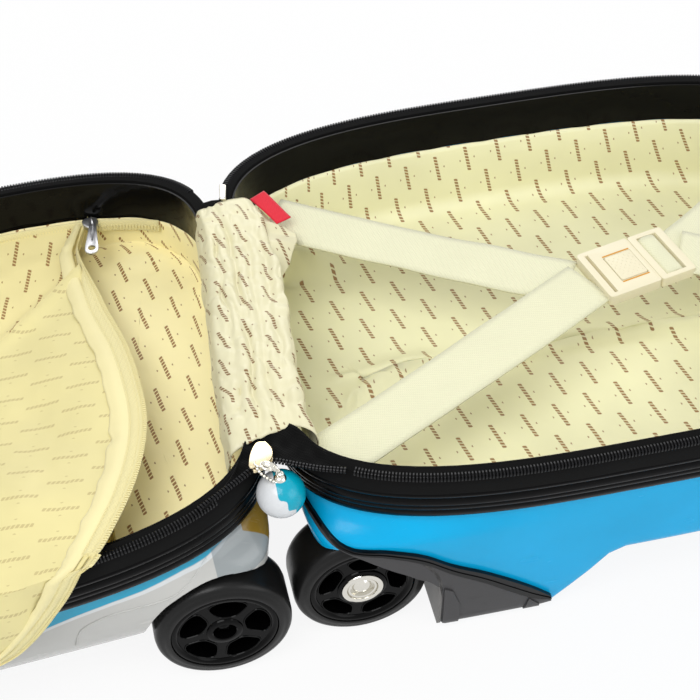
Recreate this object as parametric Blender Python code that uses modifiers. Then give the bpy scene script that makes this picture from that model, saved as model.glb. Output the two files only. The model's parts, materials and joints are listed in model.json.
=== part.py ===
"""A child's hard-shell travel case with a motor drive, lying open and flat.

Two moulded halves meet on a cloth hinge. Each half is drawn in its own frame: u runs from the
hinge to the far end, y runs along the hinge and w is the height over the rim. The back half
keeps u along +X. The front half has u along -X and slopes down to the floor.
"""

import math

import bmesh
import bpy
from mathutils import Matrix, Vector

MM = 0.001

# Outline of each half at its rim
CASE_WIDTH = 310 * MM
CASE_LENGTH = 392 * MM
WIDEST_AT = 189 * MM
END_FLAT = 118 * MM
CORNER_POWER = 3.06
HINGE_EDGE = 0.6 * MM
ARCH_POWER = 6.0
ARCH_START = 38 * MM
ARCH_FULL = 56 * MM

# Depths below the rim, and the moulded walls
WALL = 2.5 * MM
FRONT_DEPTH = 100 * MM
FRONT_EDGE_RADIUS = 35 * MM
BACK_DEPTH = 98 * MM
BACK_EDGE_RADIUS = 9 * MM
BULGE_END = 152 * MM
BULGE_RAMP = 30 * MM
SIDE_DRAFT = 0.045
HINGE_DRAFT = 0.21
FAR_DRAFT = 0.08

# Rim: zip tape on top, a ribbed channel under it, a soft band inside
FRAME_TOP = 14.5 * MM
FRAME_BOTTOM = 37.5 * MM
FRAME_OUTER = 1.2 * MM
FRAME_SLOPE = 0.174
FRAME_LIP = 1.8 * MM
FRAME_CAP = 3.3 * MM
FRAME_INNER_LIP = 13.5 * MM
RIB_DEPTH = 0.8 * MM
TAPE_WIDTH = 8.5 * MM
TAPE_COIL = 2.4 * MM
BAND_TOP = 1.5 * MM
BAND_BOTTOM = 27.5 * MM
BAND_INSET = 8.8 * MM
BAND_THICK = 1.4 * MM
BAND_SLOPE = 0.07
LINING_TOP = 27.8 * MM
LINING_THICK = 1.2 * MM
LINING_CLEAR = 1.0 * MM
BACK_LINING_DEPTH = 76 * MM
FRONT_LINING_DEPTH = 92 * MM
LINING_SLACK = 1.6 * MM
BACK_LINING_RADIUS = 10 * MM
SEAT_GAP = 0.3 * MM

# Wheels
WHEEL_RADIUS = 38 * MM
WHEEL_WIDTH = 32 * MM
WHEEL_X = 39.5 * MM
WHEEL_DROP = 99 * MM
HUB_RADIUS = 29.5 * MM
BACK_WHEEL_FACE = CASE_WIDTH / 2 - 20 * MM
FRONT_WHEEL_FACE = CASE_WIDTH / 2 - 8.5 * MM
WELL_CLEAR = 5 * MM
WELL_SIDE_CLEAR = 4 * MM
AXLE_RADIUS = 4 * MM
BORE_CLEAR = 0.3 * MM
BEARING_RADIUS = 11.8 * MM
HUB_WINDOWS = 5
WHEEL_STEPS = 24
WELL_STEPS = 14
TUBE_STEPS = 16

# Fenders on the sides of the back half
FENDER_THICK = 2.0 * MM
FENDER_BOTTOM = 131 * MM
FENDER_TIP = 147 * MM
SEAL_HEIGHT = 5 * MM

# Drive in the front half
GEAR_MODULE = 1.4 * MM
GEAR_TEETH = 24
PINION_TEETH = 8
GEAR_WIDTH = 6 * MM
POD_RADIUS = 24 * MM
POD_LENGTH = 33 * MM
MOTOR_RADIUS = 12 * MM
MOTOR_LENGTH = 36 * MM
MOTOR_SHAFT_RADIUS = 1.5 * MM
BATTERY = (34 * MM, 78 * MM, 22 * MM)
BOARD = (30 * MM, 62 * MM, 1.6 * MM)
DRIVE_BAY_END = 98 * MM
DRIVE_BAY_DEPTH = 50 * MM

# Telescopic handle in the back half
TUBE_SPACING = 108 * MM
OUTER_TUBE_RADIUS = 9.0 * MM
MID_TUBE_RADIUS = 7.5 * MM
INNER_TUBE_RADIUS = 6.0 * MM
TUBE_CLEAR = 0.3 * MM
TUBE_DROP = 86 * MM
TUBE_START = 74 * MM
TUBE_END = CASE_LENGTH - 26 * MM
MID_TUBE_START = 84 * MM
INNER_TUBE_START = 92 * MM
BEZEL_WIDTH = 148 * MM
BEZEL_HEIGHT = 26 * MM
GRIP = (17 * MM, 136 * MM, 18 * MM)
GRIP_LIFT = 2.6 * MM
GRIP_BUTTON = (5 * MM, 26 * MM, 9 * MM)
GRIP_BUTTON_PROUD = 1.6 * MM

# Carry handle on the far end
CARRY_DROP = 54 * MM
CARRY_SPAN = 104 * MM
CARRY_RISE = 30 * MM
CARRY_THICK = 9 * MM
CARRY_WIDTH = 18 * MM

# Luggage straps and their buckle
STRAP_WIDTH = 31 * MM
STRAP_THICK = 1.4 * MM
STRAP_DROP = 15 * MM
BUCKLE_AT = (234 * MM, -6 * MM)
BUCKLE_TURN = math.radians(20)
BUCKLE_LENGTH = 58 * MM
BUCKLE_WIDTH = 40 * MM
BUCKLE_THICK = 9 * MM
HINGE_STRAP_ANCHORS = ((38 * MM, -109 * MM), (46 * MM, 88 * MM))
TOP_STRAP_ANCHORS = ((356 * MM, -44 * MM), (352 * MM, 62 * MM))

# Cloth hinge, flap, label and zip pieces
GUSSET_THICK = 1.2 * MM
GUSSET_NEAR = -93 * MM
GUSSET_FAR = 88 * MM
SKIRT_SHORT = 4.5 * MM
SKIRT_DROP = 16.5 * MM
BRIDGE_THICK = 1.0 * MM
FLAP_THICK = 1.0 * MM
FLAP_END = 338 * MM
CHARM_RADIUS = 12.9 * MM
CHARM_DROP = 19 * MM
CLASP_PIN_RADIUS = 1.4 * MM
CHARM_AT = (-1.4 * MM, -121 * MM)

MODEL_NAME = "kids_travel_case"
CORNER_ANGLES = (0, 12, 24, 34, 44, 54, 63, 72)


def clear_scene():
    for item in list(bpy.data.objects):
        bpy.data.objects.remove(item, do_unlink=True)


def new_collection(name):
    collection = bpy.data.collections.new(name)
    bpy.context.scene.collection.children.link(collection)
    return collection


def material(name, color, roughness, metallic=0.0):
    made = bpy.data.materials.new(name)
    made.use_nodes = True
    shader = made.node_tree.nodes["Principled BSDF"]
    shader.inputs["Base Color"].default_value = (*color, 1.0)
    shader.inputs["Roughness"].default_value = roughness
    shader.inputs["Metallic"].default_value = metallic
    made.diffuse_color = (*color, 1.0)
    return made


def empty(name, location, parent=None, rotation=(0.0, 0.0, 0.0)):
    made = bpy.data.objects.new(name, None)
    parts.objects.link(made)
    made.location = location
    made.rotation_euler = rotation
    made.parent = parent
    return made


def add_object(name, mesh_maker, parent, finish=None, cutter=False):
    """Turns a bmesh into a named object in its parent's frame, with its faces pointing out."""
    bmesh.ops.recalc_face_normals(mesh_maker, faces=mesh_maker.faces)
    mesh = bpy.data.meshes.new(name)
    mesh_maker.to_mesh(mesh)
    mesh_maker.free()
    made = bpy.data.objects.new(name, mesh)
    made.parent = parent
    if cutter:
        cutters.objects.link(made)
        made.hide_render = True
        made.display_type = "WIRE"
    else:
        parts.objects.link(made)
        mesh.materials.append(finish)
        mesh.shade_smooth()
        mesh.set_sharp_from_angle(angle=math.radians(38))
    return made


def combine(target, other, operation="DIFFERENCE", solver="EXACT"):
    modifier = target.modifiers.new(f"{operation.lower()}_{other.name}", "BOOLEAN")
    modifier.operation = operation
    modifier.solver = solver
    modifier.object = other


def add_box(name, low, high, parent, finish=None, bevel=0.0, cutter=False):
    maker = bmesh.new()
    size = Vector(high) - Vector(low)
    middle = (Vector(high) + Vector(low)) / 2
    bmesh.ops.create_cube(maker, size=1.0, matrix=Matrix.Translation(middle) @ Matrix.Diagonal((*size, 1.0)))
    made = add_object(name, maker, parent, finish, cutter)
    if bevel:
        round_edges(made, bevel)
    return made


def round_edges(target, width, segments=2):
    modifier = target.modifiers.new("rounded_edges", "BEVEL")
    modifier.width = width
    modifier.segments = segments
    modifier.limit_method = "ANGLE"


def cylinder_maker(maker, radius, start, end, segments, radius_end=None):
    """Adds a capped cylinder between two points to a bmesh."""
    start = Vector(start)
    along = Vector(end) - start
    turn = along.to_track_quat("Z", "Y").to_matrix().to_4x4()
    place = Matrix.Translation(start + along / 2) @ turn
    bmesh.ops.create_cone(
        maker,
        cap_ends=True,
        segments=segments,
        radius1=radius,
        radius2=radius if radius_end is None else radius_end,
        depth=along.length,
        matrix=place,
    )


def add_cylinder(name, radius, start, end, parent, finish=None, segments=24, cutter=False):
    maker = bmesh.new()
    cylinder_maker(maker, radius, start, end, segments)
    return add_object(name, maker, parent, finish, cutter)


def add_turned(name, profile, place, turn, parent, finish, steps=WHEEL_STEPS):
    """A closed profile in X and Z, turned about Z. It runs down the outer side first."""
    maker = bmesh.new()
    corners = [maker.verts.new((radius, 0, height)) for radius, height in profile]
    for index, corner in enumerate(corners):
        maker.edges.new((corner, corners[(index + 1) % len(corners)]))
    made = add_object(name, maker, parent, finish)
    made.location = place
    made.rotation_euler = turn
    screw = made.modifiers.new("turned", "SCREW")
    screw.axis = "Z"
    screw.steps = steps
    screw.render_steps = steps
    screw.use_merge_vertices = True
    screw.merge_threshold = 0.00001
    screw.use_smooth_shade = True
    return made


def add_tube(name, radius, bore, start, length, parent, finish):
    """A straight tube along x, open at both ends."""
    profile = [(radius, length), (radius, 0), (bore, 0), (bore, length)]
    return add_turned(name, profile, start, (0, math.radians(90), 0), parent, finish, TUBE_STEPS)


def join_rings(maker, rings, around=False):
    """Faces between rings of equal length. around also joins the last ring to the first."""
    pairs = list(zip(rings, rings[1:]))
    if around:
        pairs.append((rings[-1], rings[0]))
    for upper, lower in pairs:
        count = len(upper)
        for index in range(count):
            after = (index + 1) % count
            maker.faces.new((upper[index], upper[after], lower[after], lower[index]))


def add_prism(name, outline, start, end, parent, finish=None, cutter=False, axis="y"):
    """A flat outline, drawn in x and z, extruded along y (or drawn in x and y, along z)."""
    maker = bmesh.new()
    if axis == "y":
        corners = [maker.verts.new((a, start, b)) for a, b in outline]
        travel = Vector((0, end - start, 0))
    else:
        corners = [maker.verts.new((a, b, start)) for a, b in outline]
        travel = Vector((0, 0, end - start))
    flat = maker.faces.new(corners)
    raised = bmesh.ops.extrude_face_region(maker, geom=[flat])["geom"]
    moved = [item for item in raised if isinstance(item, bmesh.types.BMVert)]
    bmesh.ops.translate(maker, verts=moved, vec=travel)
    return add_object(name, maker, parent, finish, cutter)


def smoothstep(value):
    value = max(0.0, min(1.0, value))
    return value * value * (3 - 2 * value)


def side_at(u):
    """Half the width of the rim at a distance u from the hinge."""
    reach = WIDEST_AT - HINGE_EDGE if u < WIDEST_AT else CASE_LENGTH - WIDEST_AT
    share = min(1.0, abs(u - WIDEST_AT) / reach)
    rise = (CASE_WIDTH - END_FLAT) / 2
    return END_FLAT / 2 + rise * (1 - share**CORNER_POWER) ** (1 / CORNER_POWER)


def edge_at(y):
    """Distance of the rim's hinge edge from the hinge, at a distance y along it."""
    share = max(0.0, abs(y) - END_FLAT / 2) / ((CASE_WIDTH - END_FLAT) / 2)
    return WIDEST_AT - (WIDEST_AT - HINGE_EDGE) * (1 - share**CORNER_POWER) ** (1 / CORNER_POWER)


def corner_point(angle, reach, direction, power):
    """A point of one rounded corner and its outward normal, by its angle in degrees."""
    cosine = math.cos(math.radians(angle))
    sine = math.sin(math.radians(angle))
    scale = (cosine**power + sine**power) ** (-1 / power)
    along = scale * cosine
    across = scale * sine
    rise = (CASE_WIDTH - END_FLAT) / 2
    normal = Vector((direction * along ** (power - 1) / reach, across ** (power - 1) / rise))
    normal.normalize()
    return (WIDEST_AT + direction * along * reach, END_FLAT / 2 + across * rise, normal.x, normal.y)


def rim_outline(hinge_power):
    """Points (u, y, normal u, normal y) of an outline, first its +y side, then back along -y."""
    side = []
    for angle in CORNER_ANGLES:
        side.append(corner_point(angle, WIDEST_AT - HINGE_EDGE, -1, hinge_power))
    for u in (BULGE_END, BULGE_END + BULGE_RAMP, WIDEST_AT + 50 * MM):
        slope = (side_at(u + MM) - side_at(u - MM)) / (2 * MM)
        normal = Vector((-slope, 1)).normalized()
        side.append((u, side_at(u), normal.x, normal.y))
    for angle in reversed(CORNER_ANGLES):
        side.append(corner_point(angle, CASE_LENGTH - WIDEST_AT, 1, CORNER_POWER))
    other = [(u, -y, normal_u, -normal_y) for u, y, normal_u, normal_y in reversed(side)]
    return side + other


RIM = rim_outline(CORNER_POWER)
ARCH_RIM = rim_outline(ARCH_POWER)


def outline_at(depth):
    """The half's outline at a depth: square-cornered over the wheels, rounder at the rim."""
    share = smoothstep((depth - ARCH_START) / (ARCH_FULL - ARCH_START))
    blended = []
    for rim, arch in zip(RIM, ARCH_RIM):
        blended.append(tuple(a + (b - a) * share for a, b in zip(rim, arch)))
    return blended


def place_in_half(direction, point, inset, depth):
    """A rim point moved inwards and down, in the frame of the back (1) or front (-1) half."""
    u, y, normal_u, normal_y = point
    return Vector((direction * (u - inset * normal_u), y - inset * normal_y, -depth))


def add_rim_ring(name, profile, direction, parent, finish):
    """A closed profile of (inset, depth) swept round the rim."""
    maker = bmesh.new()
    rings = []
    for inset, depth in profile:
        rings.append([maker.verts.new(place_in_half(direction, point, inset, depth)) for point in RIM])
    join_rings(maker, rings, around=True)
    return add_object(name, maker, parent, finish)


def wall_inset(depth, normal_u):
    """How far the outside of the shell lies inside the rim at a depth, by the way it faces."""
    top = FRAME_OUTER + (depth - FRAME_TOP) * FRAME_SLOPE + FRAME_LIP + 2 * SEAT_GAP
    if depth <= FRAME_BOTTOM:
        return top
    facing = max(0.0, -normal_u) ** 2
    away = max(0.0, normal_u) ** 2
    draft = SIDE_DRAFT + (HINGE_DRAFT - SIDE_DRAFT) * facing + (FAR_DRAFT - SIDE_DRAFT) * away
    start = FRAME_OUTER + (FRAME_BOTTOM - FRAME_TOP) * FRAME_SLOPE + FRAME_LIP + 2 * SEAT_GAP
    return start + (depth - FRAME_BOTTOM) * draft


def back_depth_at(u):
    """Depth of the back half: deep over the wheels, then a slanted step up."""
    bulge = WHEEL_DROP + WHEEL_RADIUS
    share = max(0.0, min(1.0, (u - BULGE_END) / BULGE_RAMP))
    return bulge + (BACK_DEPTH - bulge) * share


def front_depth_at(u):
    return FRONT_DEPTH


def wall_rings(direction, depth_at, radius, offset, top, steps):
    """Rings of a half's wall, moved in by offset, from the depth top to its flat bottom."""
    rows = []
    for depth in (top, FRAME_BOTTOM, ARCH_FULL):
        row = []
        for point in outline_at(depth):
            row.append(place_in_half(direction, point, wall_inset(depth, point[2]) + offset, depth))
        rows.append(row)
    for step in range(steps + 1):
        turn = math.pi / 2 * step / steps
        row = []
        for point in ARCH_RIM:
            bottom = depth_at(point[0])
            depth = bottom - radius + (radius - offset) * math.sin(turn)
            inset = wall_inset(bottom - radius, point[2]) + radius - (radius - offset) * math.cos(turn)
            row.append(place_in_half(direction, point, inset, depth))
        rows.append(row)
    return rows


def solid_from_rows(rows):
    """A closed solid from rings, its two ends closed by strips between the two sides."""
    maker = bmesh.new()
    rings = [[maker.verts.new(corner) for corner in row] for row in rows]
    join_rings(maker, rings)
    for ring in (rings[0], rings[-1]):
        count = len(ring)
        for index in range(count // 2 - 1):
            maker.faces.new((ring[index], ring[index + 1], ring[count - 2 - index], ring[count - 1 - index]))
    bmesh.ops.triangulate(maker, faces=maker.faces)
    return maker


def wheel_place(direction):
    """Wheel axle of a half in its own frame: the front half's turns with its slope."""
    if direction > 0:
        return (WHEEL_X, WHEEL_DROP)
    cosine = math.cos(FRONT_SLOPE)
    sine = math.sin(FRONT_SLOPE)
    return (WHEEL_X * cosine + WHEEL_DROP * sine, WHEEL_DROP * cosine - WHEEL_X * sine)


def front_slope():
    """The angle at which the front half's far edge meets the floor that the wheels stand on."""
    bottom = FRONT_DEPTH - FRONT_EDGE_RADIUS
    reach = CASE_LENGTH - wall_inset(bottom, 1.0) - FRONT_EDGE_RADIUS
    height = WHEEL_DROP + WHEEL_RADIUS - FRONT_EDGE_RADIUS
    return math.asin(height / math.hypot(reach, bottom)) - math.atan2(bottom, reach)


FRONT_SLOPE = front_slope()


def well_arch(name, direction, side, face, extra, parent):
    """A cutter for a wheel arch on one side: round above the axle and straight down below it."""
    u, drop = wheel_place(direction)
    radius = WHEEL_RADIUS + WELL_CLEAR + extra
    outline = []
    for step in range(WELL_STEPS + 1):
        angle = math.pi * step / WELL_STEPS
        outline.append((direction * u + radius * math.cos(angle), radius * math.sin(angle) - drop))
    outline.append((direction * u - radius, -drop - 2 * WHEEL_RADIUS))
    outline.append((direction * u + radius, -drop - 2 * WHEEL_RADIUS))
    inner = side * (face - WHEEL_WIDTH - WELL_SIDE_CLEAR - extra)
    outer = side * (CASE_WIDTH / 2 + 10 * MM)
    return add_prism(name, outline, inner, outer, parent, cutter=True)


def make_shell(label, direction, depth_at, radius, steps, face, parent, finish, pods):
    """One moulded half: an open tray with closed wheel wells and, in front, two gear pods."""
    top = FRAME_TOP + FRAME_CAP
    shell = add_object(f"{label}_shell", solid_from_rows(wall_rings(direction, depth_at, radius, 0.0, top, steps)), parent, finish)
    inner_rows = wall_rings(direction, depth_at, radius, WALL, top - 4 * MM, steps)
    hollow = add_object(f"{label}_hollow_cutter", solid_from_rows(inner_rows), parent, cutter=True)
    wheel_u, wheel_drop = wheel_place(direction)
    pod_start = face - WHEEL_WIDTH - WELL_SIDE_CLEAR
    for side, word in ((-1, "near"), (1, "far")):
        if pods:
            middle = (direction * wheel_u, side * (pod_start - WALL), -wheel_drop)
            end = (direction * wheel_u, side * (pod_start - POD_LENGTH), -wheel_drop)
            outside = (direction * wheel_u, side * pod_start, -wheel_drop)
            inside_end = (direction * wheel_u, side * (pod_start - POD_LENGTH + WALL), -wheel_drop)
            pod = add_cylinder(f"{label}_{word}_pod_form", POD_RADIUS, outside, end, parent, segments=24, cutter=True)
            combine(shell, pod, "UNION", "MANIFOLD")
            room = add_cylinder(f"{label}_{word}_pod_cutter", POD_RADIUS - WALL, middle, inside_end, parent, segments=24, cutter=True)
            combine(hollow, room, "UNION", "MANIFOLD")
        wall = well_arch(f"{label}_{word}_well_wall", direction, side, face, WALL, parent)
        combine(hollow, wall, solver="MANIFOLD")
    combine(shell, hollow, solver="MANIFOLD")
    for side, word in ((-1, "near"), (1, "far")):
        well = well_arch(f"{label}_{word}_well_cutter", direction, side, face, 0.0, parent)
        bore_start = (direction * wheel_u, side * (pod_start - 2 * WALL), -wheel_drop)
        bore_end = (direction * wheel_u, side * (pod_start + WALL), -wheel_drop)
        bore_radius = AXLE_RADIUS + BORE_CLEAR
        bore = add_cylinder(f"{label}_{word}_axle_bore", bore_radius, bore_start, bore_end, parent, segments=16, cutter=True)
        combine(well, bore, "UNION")
        combine(shell, well, solver="MANIFOLD")
    return shell


def make_lining(label, direction, depth_floor, radius, face, parent, finish, drive_bay):
    """The fabric lining as a thin tray that clears the wheel wells, and in front the drive."""
    solids = []
    wall = depth_floor - radius
    for layer, offset in (("outer", 0.0), ("inner", LINING_THICK)):
        base = WALL + LINING_CLEAR + LINING_SLACK
        levels = [(LINING_TOP - 2 * offset, offset), (wall, offset)]
        for turn in (math.pi / 4, math.pi / 2):
            shrink = radius - (radius - offset) * math.cos(turn)
            levels.append((wall + (radius - offset) * math.sin(turn), shrink))
        rows = []
        for depth, inset in levels:
            row = []
            for point in RIM:
                own = wall_inset(min(max(depth, LINING_TOP), wall), point[2]) + base + inset
                row.append(place_in_half(direction, point, own, depth))
            rows.append(row)
        cutter = layer == "inner"
        name = f"{label}_lining_cutter" if cutter else f"{label}_lining"
        made = add_object(name, solid_from_rows(rows), parent, finish, cutter)
        for side, word in ((-1, "near"), (1, "far")):
            extra = WALL + LINING_CLEAR + offset
            combine(made, well_arch(f"{name}_{word}_well", direction, side, face, extra, parent))
        if drive_bay:
            low = (direction * (DRIVE_BAY_END + offset), -CASE_WIDTH, -CASE_WIDTH)
            high = (-direction * 70 * MM, CASE_WIDTH, -(DRIVE_BAY_DEPTH - offset))
            bounds = [sorted(pair) for pair in zip(low, high)]
            bay = add_box(f"{name}_bay", [b[0] for b in bounds], [b[1] for b in bounds], parent, cutter=True)
            combine(made, bay)
        solids.append(made)
    combine(solids[0], solids[1])
    return solids[0]


def frame_profile():
    """The ribbed channel that holds the shell's edge, as (inset, depth)."""
    outer = []
    span = FRAME_BOTTOM - FRAME_TOP
    for share, groove in ((0, 0), (0.25, 1), (0.5, 0), (0.75, 1), (1, 0)):
        depth = FRAME_TOP + span * share
        inset = FRAME_OUTER + (depth - FRAME_TOP) * FRAME_SLOPE
        outer.append((inset + RIB_DEPTH * groove, depth))
    shell_top = FRAME_TOP + FRAME_CAP - SEAT_GAP
    shell_outer = wall_inset(shell_top, 0.0)
    lip_depth = FRAME_TOP + FRAME_INNER_LIP
    lip_face = wall_inset(lip_depth, 0.0) + WALL + SEAT_GAP
    return outer + [
        (wall_inset(FRAME_BOTTOM, 0.0) - SEAT_GAP, FRAME_BOTTOM),
        (shell_outer - SEAT_GAP, shell_top),
        (shell_outer + WALL + SEAT_GAP, shell_top),
        (lip_face, lip_depth),
        (lip_face + FRAME_LIP, lip_depth),
        (shell_outer + WALL + SEAT_GAP + FRAME_LIP, FRAME_TOP),
    ]


def tape_profile():
    """Zip tape that stands on the channel, with the coil along its top."""
    foot = FRAME_TOP - SEAT_GAP
    edge = 1.2 * MM
    return [
        (0.2 * MM, edge),
        (1.0 * MM, 0.0),
        (TAPE_WIDTH - 0.6 * MM, 0.0),
        (TAPE_WIDTH, TAPE_COIL),
        (3.2 * MM, TAPE_COIL),
        (2.8 * MM, foot),
        (1.4 * MM, foot),
    ]


def band_profile():
    """The soft black band along the inside of the rim."""
    drop = (BAND_BOTTOM - BAND_TOP) * BAND_SLOPE
    return [
        (BAND_INSET, BAND_TOP),
        (BAND_INSET + drop, BAND_BOTTOM),
        (BAND_INSET + drop + BAND_THICK, BAND_BOTTOM),
        (BAND_INSET + BAND_THICK, BAND_TOP),
    ]


def make_half(label, direction, parent):
    """The shell, channel, tape, band and lining of one half."""
    back = direction > 0
    depth_at = back_depth_at if back else front_depth_at
    radius = BACK_EDGE_RADIUS if back else FRONT_EDGE_RADIUS
    face = BACK_WHEEL_FACE if back else FRONT_WHEEL_FACE
    shell_finish = BLUE if back else WHITE
    make_shell(label, direction, depth_at, radius, 2 if back else 3, face, parent, shell_finish, not back)
    add_rim_ring(f"{label}_frame", frame_profile(), direction, parent, BLACK)
    add_rim_ring(f"{label}_zip_tape", tape_profile(), direction, parent, BLACK_CLOTH)
    add_rim_ring(f"{label}_edge_band", band_profile(), direction, parent, BLACK)
    floor = BACK_LINING_DEPTH if back else FRONT_LINING_DEPTH
    corner = BACK_LINING_RADIUS if back else FRONT_EDGE_RADIUS
    make_lining(label, direction, floor, corner, face, parent, CREAM if back else YELLOW, not back)


def tyre_profile():
    half = WHEEL_WIDTH / 2
    seat = HUB_RADIUS + BORE_CLEAR
    shoulder = 5 * MM
    return [
        (WHEEL_RADIUS - 2.5 * MM, half),
        (WHEEL_RADIUS, half - shoulder),
        (WHEEL_RADIUS, shoulder - half),
        (WHEEL_RADIUS - 2.5 * MM, -half),
        (seat, -half),
        (seat, half),
    ]


def hub_profile(recess_radius, recess_depth):
    """The wheel's hub: a rim ring, a web and a boss with a recess in its outer face."""
    half = WHEEL_WIDTH / 2 - 0.4 * MM
    web_top = half - 2.5 * MM
    web_bottom = half - 16 * MM
    ring = HUB_RADIUS - 3.2 * MM
    boss = recess_radius + 3.4 * MM
    bore = AXLE_RADIUS + BORE_CLEAR
    return [
        (HUB_RADIUS, half),
        (HUB_RADIUS, -half),
        (ring, -half),
        (ring, web_bottom),
        (bore, web_bottom),
        (bore, half - recess_depth),
        (recess_radius, half - recess_depth),
        (recess_radius, half),
        (boss, half),
        (boss, web_top),
        (ring, web_top),
        (ring, half),
    ]


def window_outline(inner, outer):
    """A rounded teardrop between two radii, pointing along +x."""
    middle = (inner + outer) / 2
    half_long = (outer - inner) / 2
    points = []
    for step in range(8):
        angle = 2 * math.pi * step / 8
        along = math.cos(angle)
        wide = half_long * (1.02 + 0.34 * along)
        points.append((middle + half_long * along, wide * math.sin(angle)))
    return points


def make_wheel(label, side, face, frame, half_parent, driven):
    """One wheel on its own axle empty: tyre, hub and, where it runs free, its bearing."""
    u, drop, direction = frame
    middle = side * (face - WHEEL_WIDTH / 2)
    axle = empty(f"{label}_wheel_axis", (direction * u, middle, -drop), half_parent)
    outward = (math.radians(90) * (1 if side < 0 else -1), 0, 0)
    add_turned(f"{label}_tyre", tyre_profile(), (0, 0, 0), outward, axle, RUBBER)
    recess_radius = 6.4 * MM if driven else BEARING_RADIUS - 1.4 * MM
    recess_depth = 9 * MM if driven else 7 * MM
    hub = add_turned(f"{label}_hub", hub_profile(recess_radius, recess_depth), (0, 0, 0), outward, axle, BLACK)
    inner = recess_radius + 3.4 * MM + (2.0 * MM if driven else 1.2 * MM)
    outer = HUB_RADIUS - 5.0 * MM
    for index in range(HUB_WINDOWS):
        angle = 2 * math.pi * (index + 0.13) / HUB_WINDOWS
        turned = turned_outline(window_outline(inner, outer), angle)
        cutter = add_prism(f"{label}_window_{index}", turned, -WHEEL_WIDTH, WHEEL_WIDTH, axle, cutter=True)
        combine(hub, cutter)
    if not driven:
        lip = WHEEL_WIDTH / 2 + 0.6 * MM
        seat = WHEEL_WIDTH / 2 - 0.4 * MM
        bore = AXLE_RADIUS + BORE_CLEAR
        profile = [
            (BEARING_RADIUS - 0.7 * MM, lip),
            (BEARING_RADIUS, lip - 0.6 * MM),
            (BEARING_RADIUS, seat + BORE_CLEAR),
            (recess_radius - BORE_CLEAR, seat + BORE_CLEAR),
            (recess_radius - BORE_CLEAR, seat - recess_depth + BORE_CLEAR),
            (bore, seat - recess_depth + BORE_CLEAR),
            (bore + 1.6 * MM, lip - 1.2 * MM),
        ]
        add_turned(f"{label}_bearing", profile, (0, 0, 0), outward, axle, CHROME, 20)
    return axle


def gear_outline(teeth, module):
    """A plain gear outline: four points a tooth, on root and tip circles."""
    pitch = teeth * module / 2
    points = []
    for tooth in range(teeth):
        for share, lift in ((-0.28, -1.2), (-0.12, 0.8), (0.12, 0.8), (0.28, -1.2)):
            radius = pitch + lift * module
            angle = 2 * math.pi * (tooth + share) / teeth
            points.append((radius * math.cos(angle), radius * math.sin(angle)))
    return points


def turned_outline(points, angle):
    cosine = math.cos(angle)
    sine = math.sin(angle)
    return [(x * cosine - z * sine, x * sine + z * cosine) for x, z in points]


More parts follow.
